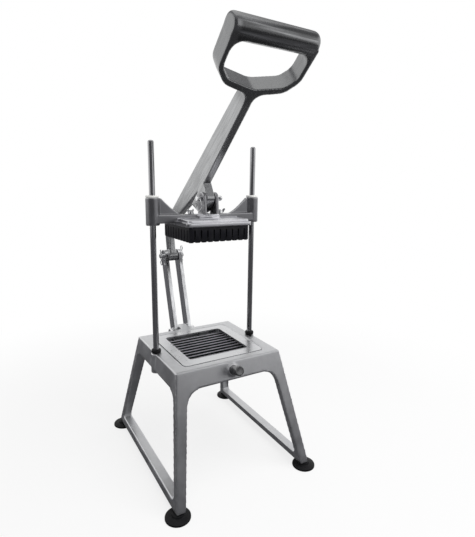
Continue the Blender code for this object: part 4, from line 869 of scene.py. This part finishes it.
class CHOPPER_OT_studio(bpy.types.Operator):
    """Sets up the pale floor, the screens, the soft lamps and the camera"""
    bl_idname = "chopper.studio"
    bl_label = "Studio"
    FLOOR_REACH = 6.0
    FADE_START = 0.4         # share of the floor's fade at which it begins
    CLOTH_HEIGHT = 0.0005    # of the cloths above the floor
    BRIGHT_FROM = 0.40       # x at which the wall's bright part begins
    TARGET = Vector((0.0, 0.0, 0.30))               # what the lamps point at
    OVERHEAD, OVERHEAD_SIZE = Vector((0.25, -0.45, 1.75)), 1.3
    RIGHT, RIGHT_SIZE = Vector((0.95, -1.35, 1.20)), 1.4

    def execute(self, context):
        studio = context.scene.chopper_studio
        self.add_floor(studio)
        self.add_screens(studio)
        self.light_world(studio)
        self.add_lamp("overhead lamp", self.OVERHEAD, self.OVERHEAD_SIZE, studio.key_power)
        self.add_lamp("right lamp", self.RIGHT, self.RIGHT_SIZE, studio.side_power)
        self.add_camera(context.scene, studio)
        context.scene.view_settings.view_transform = "Standard"
        return {"FINISHED"}

    def add_floor(self, studio):
        form = bmesh.new()
        bmesh.ops.create_grid(form, x_segments=1, y_segments=1, size=self.FLOOR_REACH)
        mesh = bpy.data.meshes.new("floor")
        form.to_mesh(mesh)
        form.free()
        mesh.materials.append(self.floor_finish(studio))
        floor = bpy.data.objects.new("floor", mesh)
        bpy.context.scene.collection.objects.link(floor)

    def floor_finish(self, studio):
        """Pale and dull, and nearly white where it is seen, with the object's soft shadow."""
        finish = Finish("pale floor", roughness=0.85, colour=studio.floor_colour)
        distance = finish.node("ShaderNodeVectorMath", {"operation": "LENGTH"}, {0: finish.place()},
                               output="Value")
        share = finish.spread(distance, studio.floor_fade * self.FADE_START, studio.floor_fade,
                              studio.floor_glow, 1.0)
        glow = finish.node("ShaderNodeEmission", inputs={"Color": WHITE, "Strength": 1.0})
        surface = Value(finish, finish.shader.outputs[0])
        finish.show(finish.node("ShaderNodeMixShader", inputs={
            0: finish.seen() * share, 1: surface, 2: glow}))
        return finish.material

    def add_screens(self, studio):
        """Walls, cloths and a roof, which show only in the metal's reflections."""
        radius, near, back = studio.screen_radius, studio.cloth_radius, studio.screen_back
        low, high = studio.low_wall, studio.screen_height
        dark = (studio.dark_colour, studio.dark_colour)
        wall = self.sheet(radius, radius, high - low, (high + low) / 2)
        self.keep(wall, lambda place: place.y < back)
        self.add_screen(wall, "studio_wall", (studio.dark_colour, studio.bright_colour))
        low_wall = self.sheet(radius, radius, low, low / 2)
        self.keep(low_wall, lambda place: place.y < back or place.x < 0.0)
        self.add_screen(low_wall, "low_wall", dark)
        carpet = self.sheet(radius, near, 0.0, self.CLOTH_HEIGHT)
        self.keep(carpet, lambda place: place.y < back or place.x < 0.0)
        self.add_screen(carpet, "dark_carpet", dark)
        cloth = bmesh.new()
        bmesh.ops.create_circle(cloth, cap_ends=True, segments=72, radius=near,
                                matrix=Matrix.Translation((0.0, 0.0, self.CLOTH_HEIGHT)))
        self.add_screen(cloth, "near_cloth", (studio.near_colour, studio.near_colour))
        roof = self.sheet(radius, studio.roof_opening, 0.0, high)
        self.add_screen(roof, "studio_roof", (studio.roof_colour, studio.roof_colour))

    def sheet(self, low, high, depth, middle):
        """A ring round the Z axis, with a radius for its low rim and one for its high rim."""
        form = bmesh.new()
        bmesh.ops.create_cone(form, cap_ends=False, segments=72, radius1=low, radius2=high, depth=depth,
                              matrix=Matrix.Translation((0.0, 0.0, middle)))
        return form

    def keep(self, form, wanted):
        """Leaves only the faces whose middle is wanted."""
        spare = [face for face in form.faces if not wanted(face.calc_center_median())]
        bmesh.ops.delete(form, geom=spare, context="FACES")

    def add_screen(self, form, name, halves):
        """A glowing sheet whose left and right halves have a colour each."""
        bmesh.ops.bisect_plane(form, geom=form.verts[:] + form.edges[:] + form.faces[:],
                               plane_co=X_AXIS * self.BRIGHT_FROM, plane_no=X_AXIS)
        for face in form.faces:
            face.material_index = 1 if face.calc_center_median().x > self.BRIGHT_FROM else 0
        mesh = bpy.data.meshes.new(name)
        form.to_mesh(mesh)
        form.free()
        for colour in halves:
            finish = Finish(name)
            finish.show(finish.node("ShaderNodeEmission", inputs={
                "Color": (*colour, 1.0), "Strength": 1.0}))
            mesh.materials.append(finish.material)
        screen = bpy.data.objects.new(name, mesh)
        screen.visible_camera = False
        screen.visible_diffuse = False
        screen.visible_shadow = False
        screen.visible_transmission = False
        bpy.context.scene.collection.objects.link(screen)

    def light_world(self, studio):
        """Dim light from all round, and plain white where the world itself is seen."""
        world = bpy.data.worlds.new("studio")
        world.use_nodes = True
        bpy.context.scene.world = world
        nodes = Nodes(world.node_tree)
        light = nodes.tree.nodes["Background"]
        light.inputs["Color"].default_value = WHITE
        light.inputs["Strength"].default_value = studio.ambient
        backdrop = nodes.node("ShaderNodeBackground", inputs={"Color": WHITE, "Strength": 1.0})
        mixed = nodes.node("ShaderNodeMixShader", inputs={
            0: nodes.seen(), 1: Value(nodes, light.outputs[0]), 2: backdrop})
        nodes.feed(nodes.tree.nodes["World Output"].inputs["Surface"], mixed)

    def add_lamp(self, name, place, size, power):
        """A round soft lamp that doesn't show in the reflections."""
        lamp = bpy.data.lights.new(name, "AREA")
        lamp.shape = "DISK"
        lamp.size = size
        lamp.energy = power
        item = bpy.data.objects.new(name, lamp)
        item.location = place
        item.rotation_euler = (self.TARGET - place).to_track_quat("-Z", "Y").to_euler()
        item.visible_glossy = False
        bpy.context.scene.collection.objects.link(item)

    def add_camera(self, scene, studio):
        lens = bpy.data.cameras.new("camera")
        lens.sensor_width = 36.0
        lens.lens = studio.lens
        lens.clip_start = 0.01
        camera = bpy.data.objects.new("camera", lens)
        sight = Vector((math.sin(studio.yaw) * math.cos(studio.pitch),
                        math.cos(studio.yaw) * math.cos(studio.pitch), -math.sin(studio.pitch)))
        right = Vector((math.cos(studio.yaw), -math.sin(studio.yaw), 0.0))
        up = right.cross(sight)
        cosine, sine = math.cos(studio.roll), math.sin(studio.roll)
        across, above = cosine * right + sine * up, cosine * up - sine * right
        turn = Matrix((across, above, -sight)).transposed().to_4x4()
        camera.matrix_world = Matrix.Translation(studio.place) @ turn
        scene.collection.objects.link(camera)
        scene.camera = camera


class CHOPPER_PT_panel(bpy.types.Panel):
    """Lists the chopper's pieces and its studio"""
    bl_idname = "CHOPPER_PT_panel"
    bl_label = "Food chopper"
    bl_space_type = "VIEW_3D"
    bl_region_type = "UI"
    bl_category = "Chopper"

    def draw(self, context):
        for settings in SETTINGS:
            group = getattr(context.scene, settings)
            box = self.layout.box()
            for name in group.__annotations__:
                box.prop(group, name)
        for operator in OPERATORS:
            self.layout.operator(operator.bl_idname)


SETTINGS = {
    "chopper_casting": CastingSettings,
    "chopper_steel": SteelSettings,
    "chopper_soft": SoftSettings,
    "chopper_studio": StudioSettings,
}
OPERATORS = (CHOPPER_OT_stand, CHOPPER_OT_cassette, CHOPPER_OT_rods, CHOPPER_OT_feet,
             CHOPPER_OT_lock_knob, CHOPPER_OT_head, CHOPPER_OT_fasteners, CHOPPER_OT_links,
             CHOPPER_OT_lever, CHOPPER_OT_studio)
CLASSES = (*SETTINGS.values(), *OPERATORS, CHOPPER_PT_panel)


def register():
    for item in CLASSES:
        bpy.utils.register_class(item)
    for name, settings in SETTINGS.items():
        setattr(bpy.types.Scene, name, PointerProperty(type=settings))


def unregister():
    for name in SETTINGS:
        delattr(bpy.types.Scene, name)
    for item in reversed(CLASSES):
        bpy.utils.unregister_class(item)


def main():
    register()
    for operator in OPERATORS:
        group, name = operator.bl_idname.split(".")
        getattr(getattr(bpy.ops, group), name)()


if __name__ == "__main__":
    main()
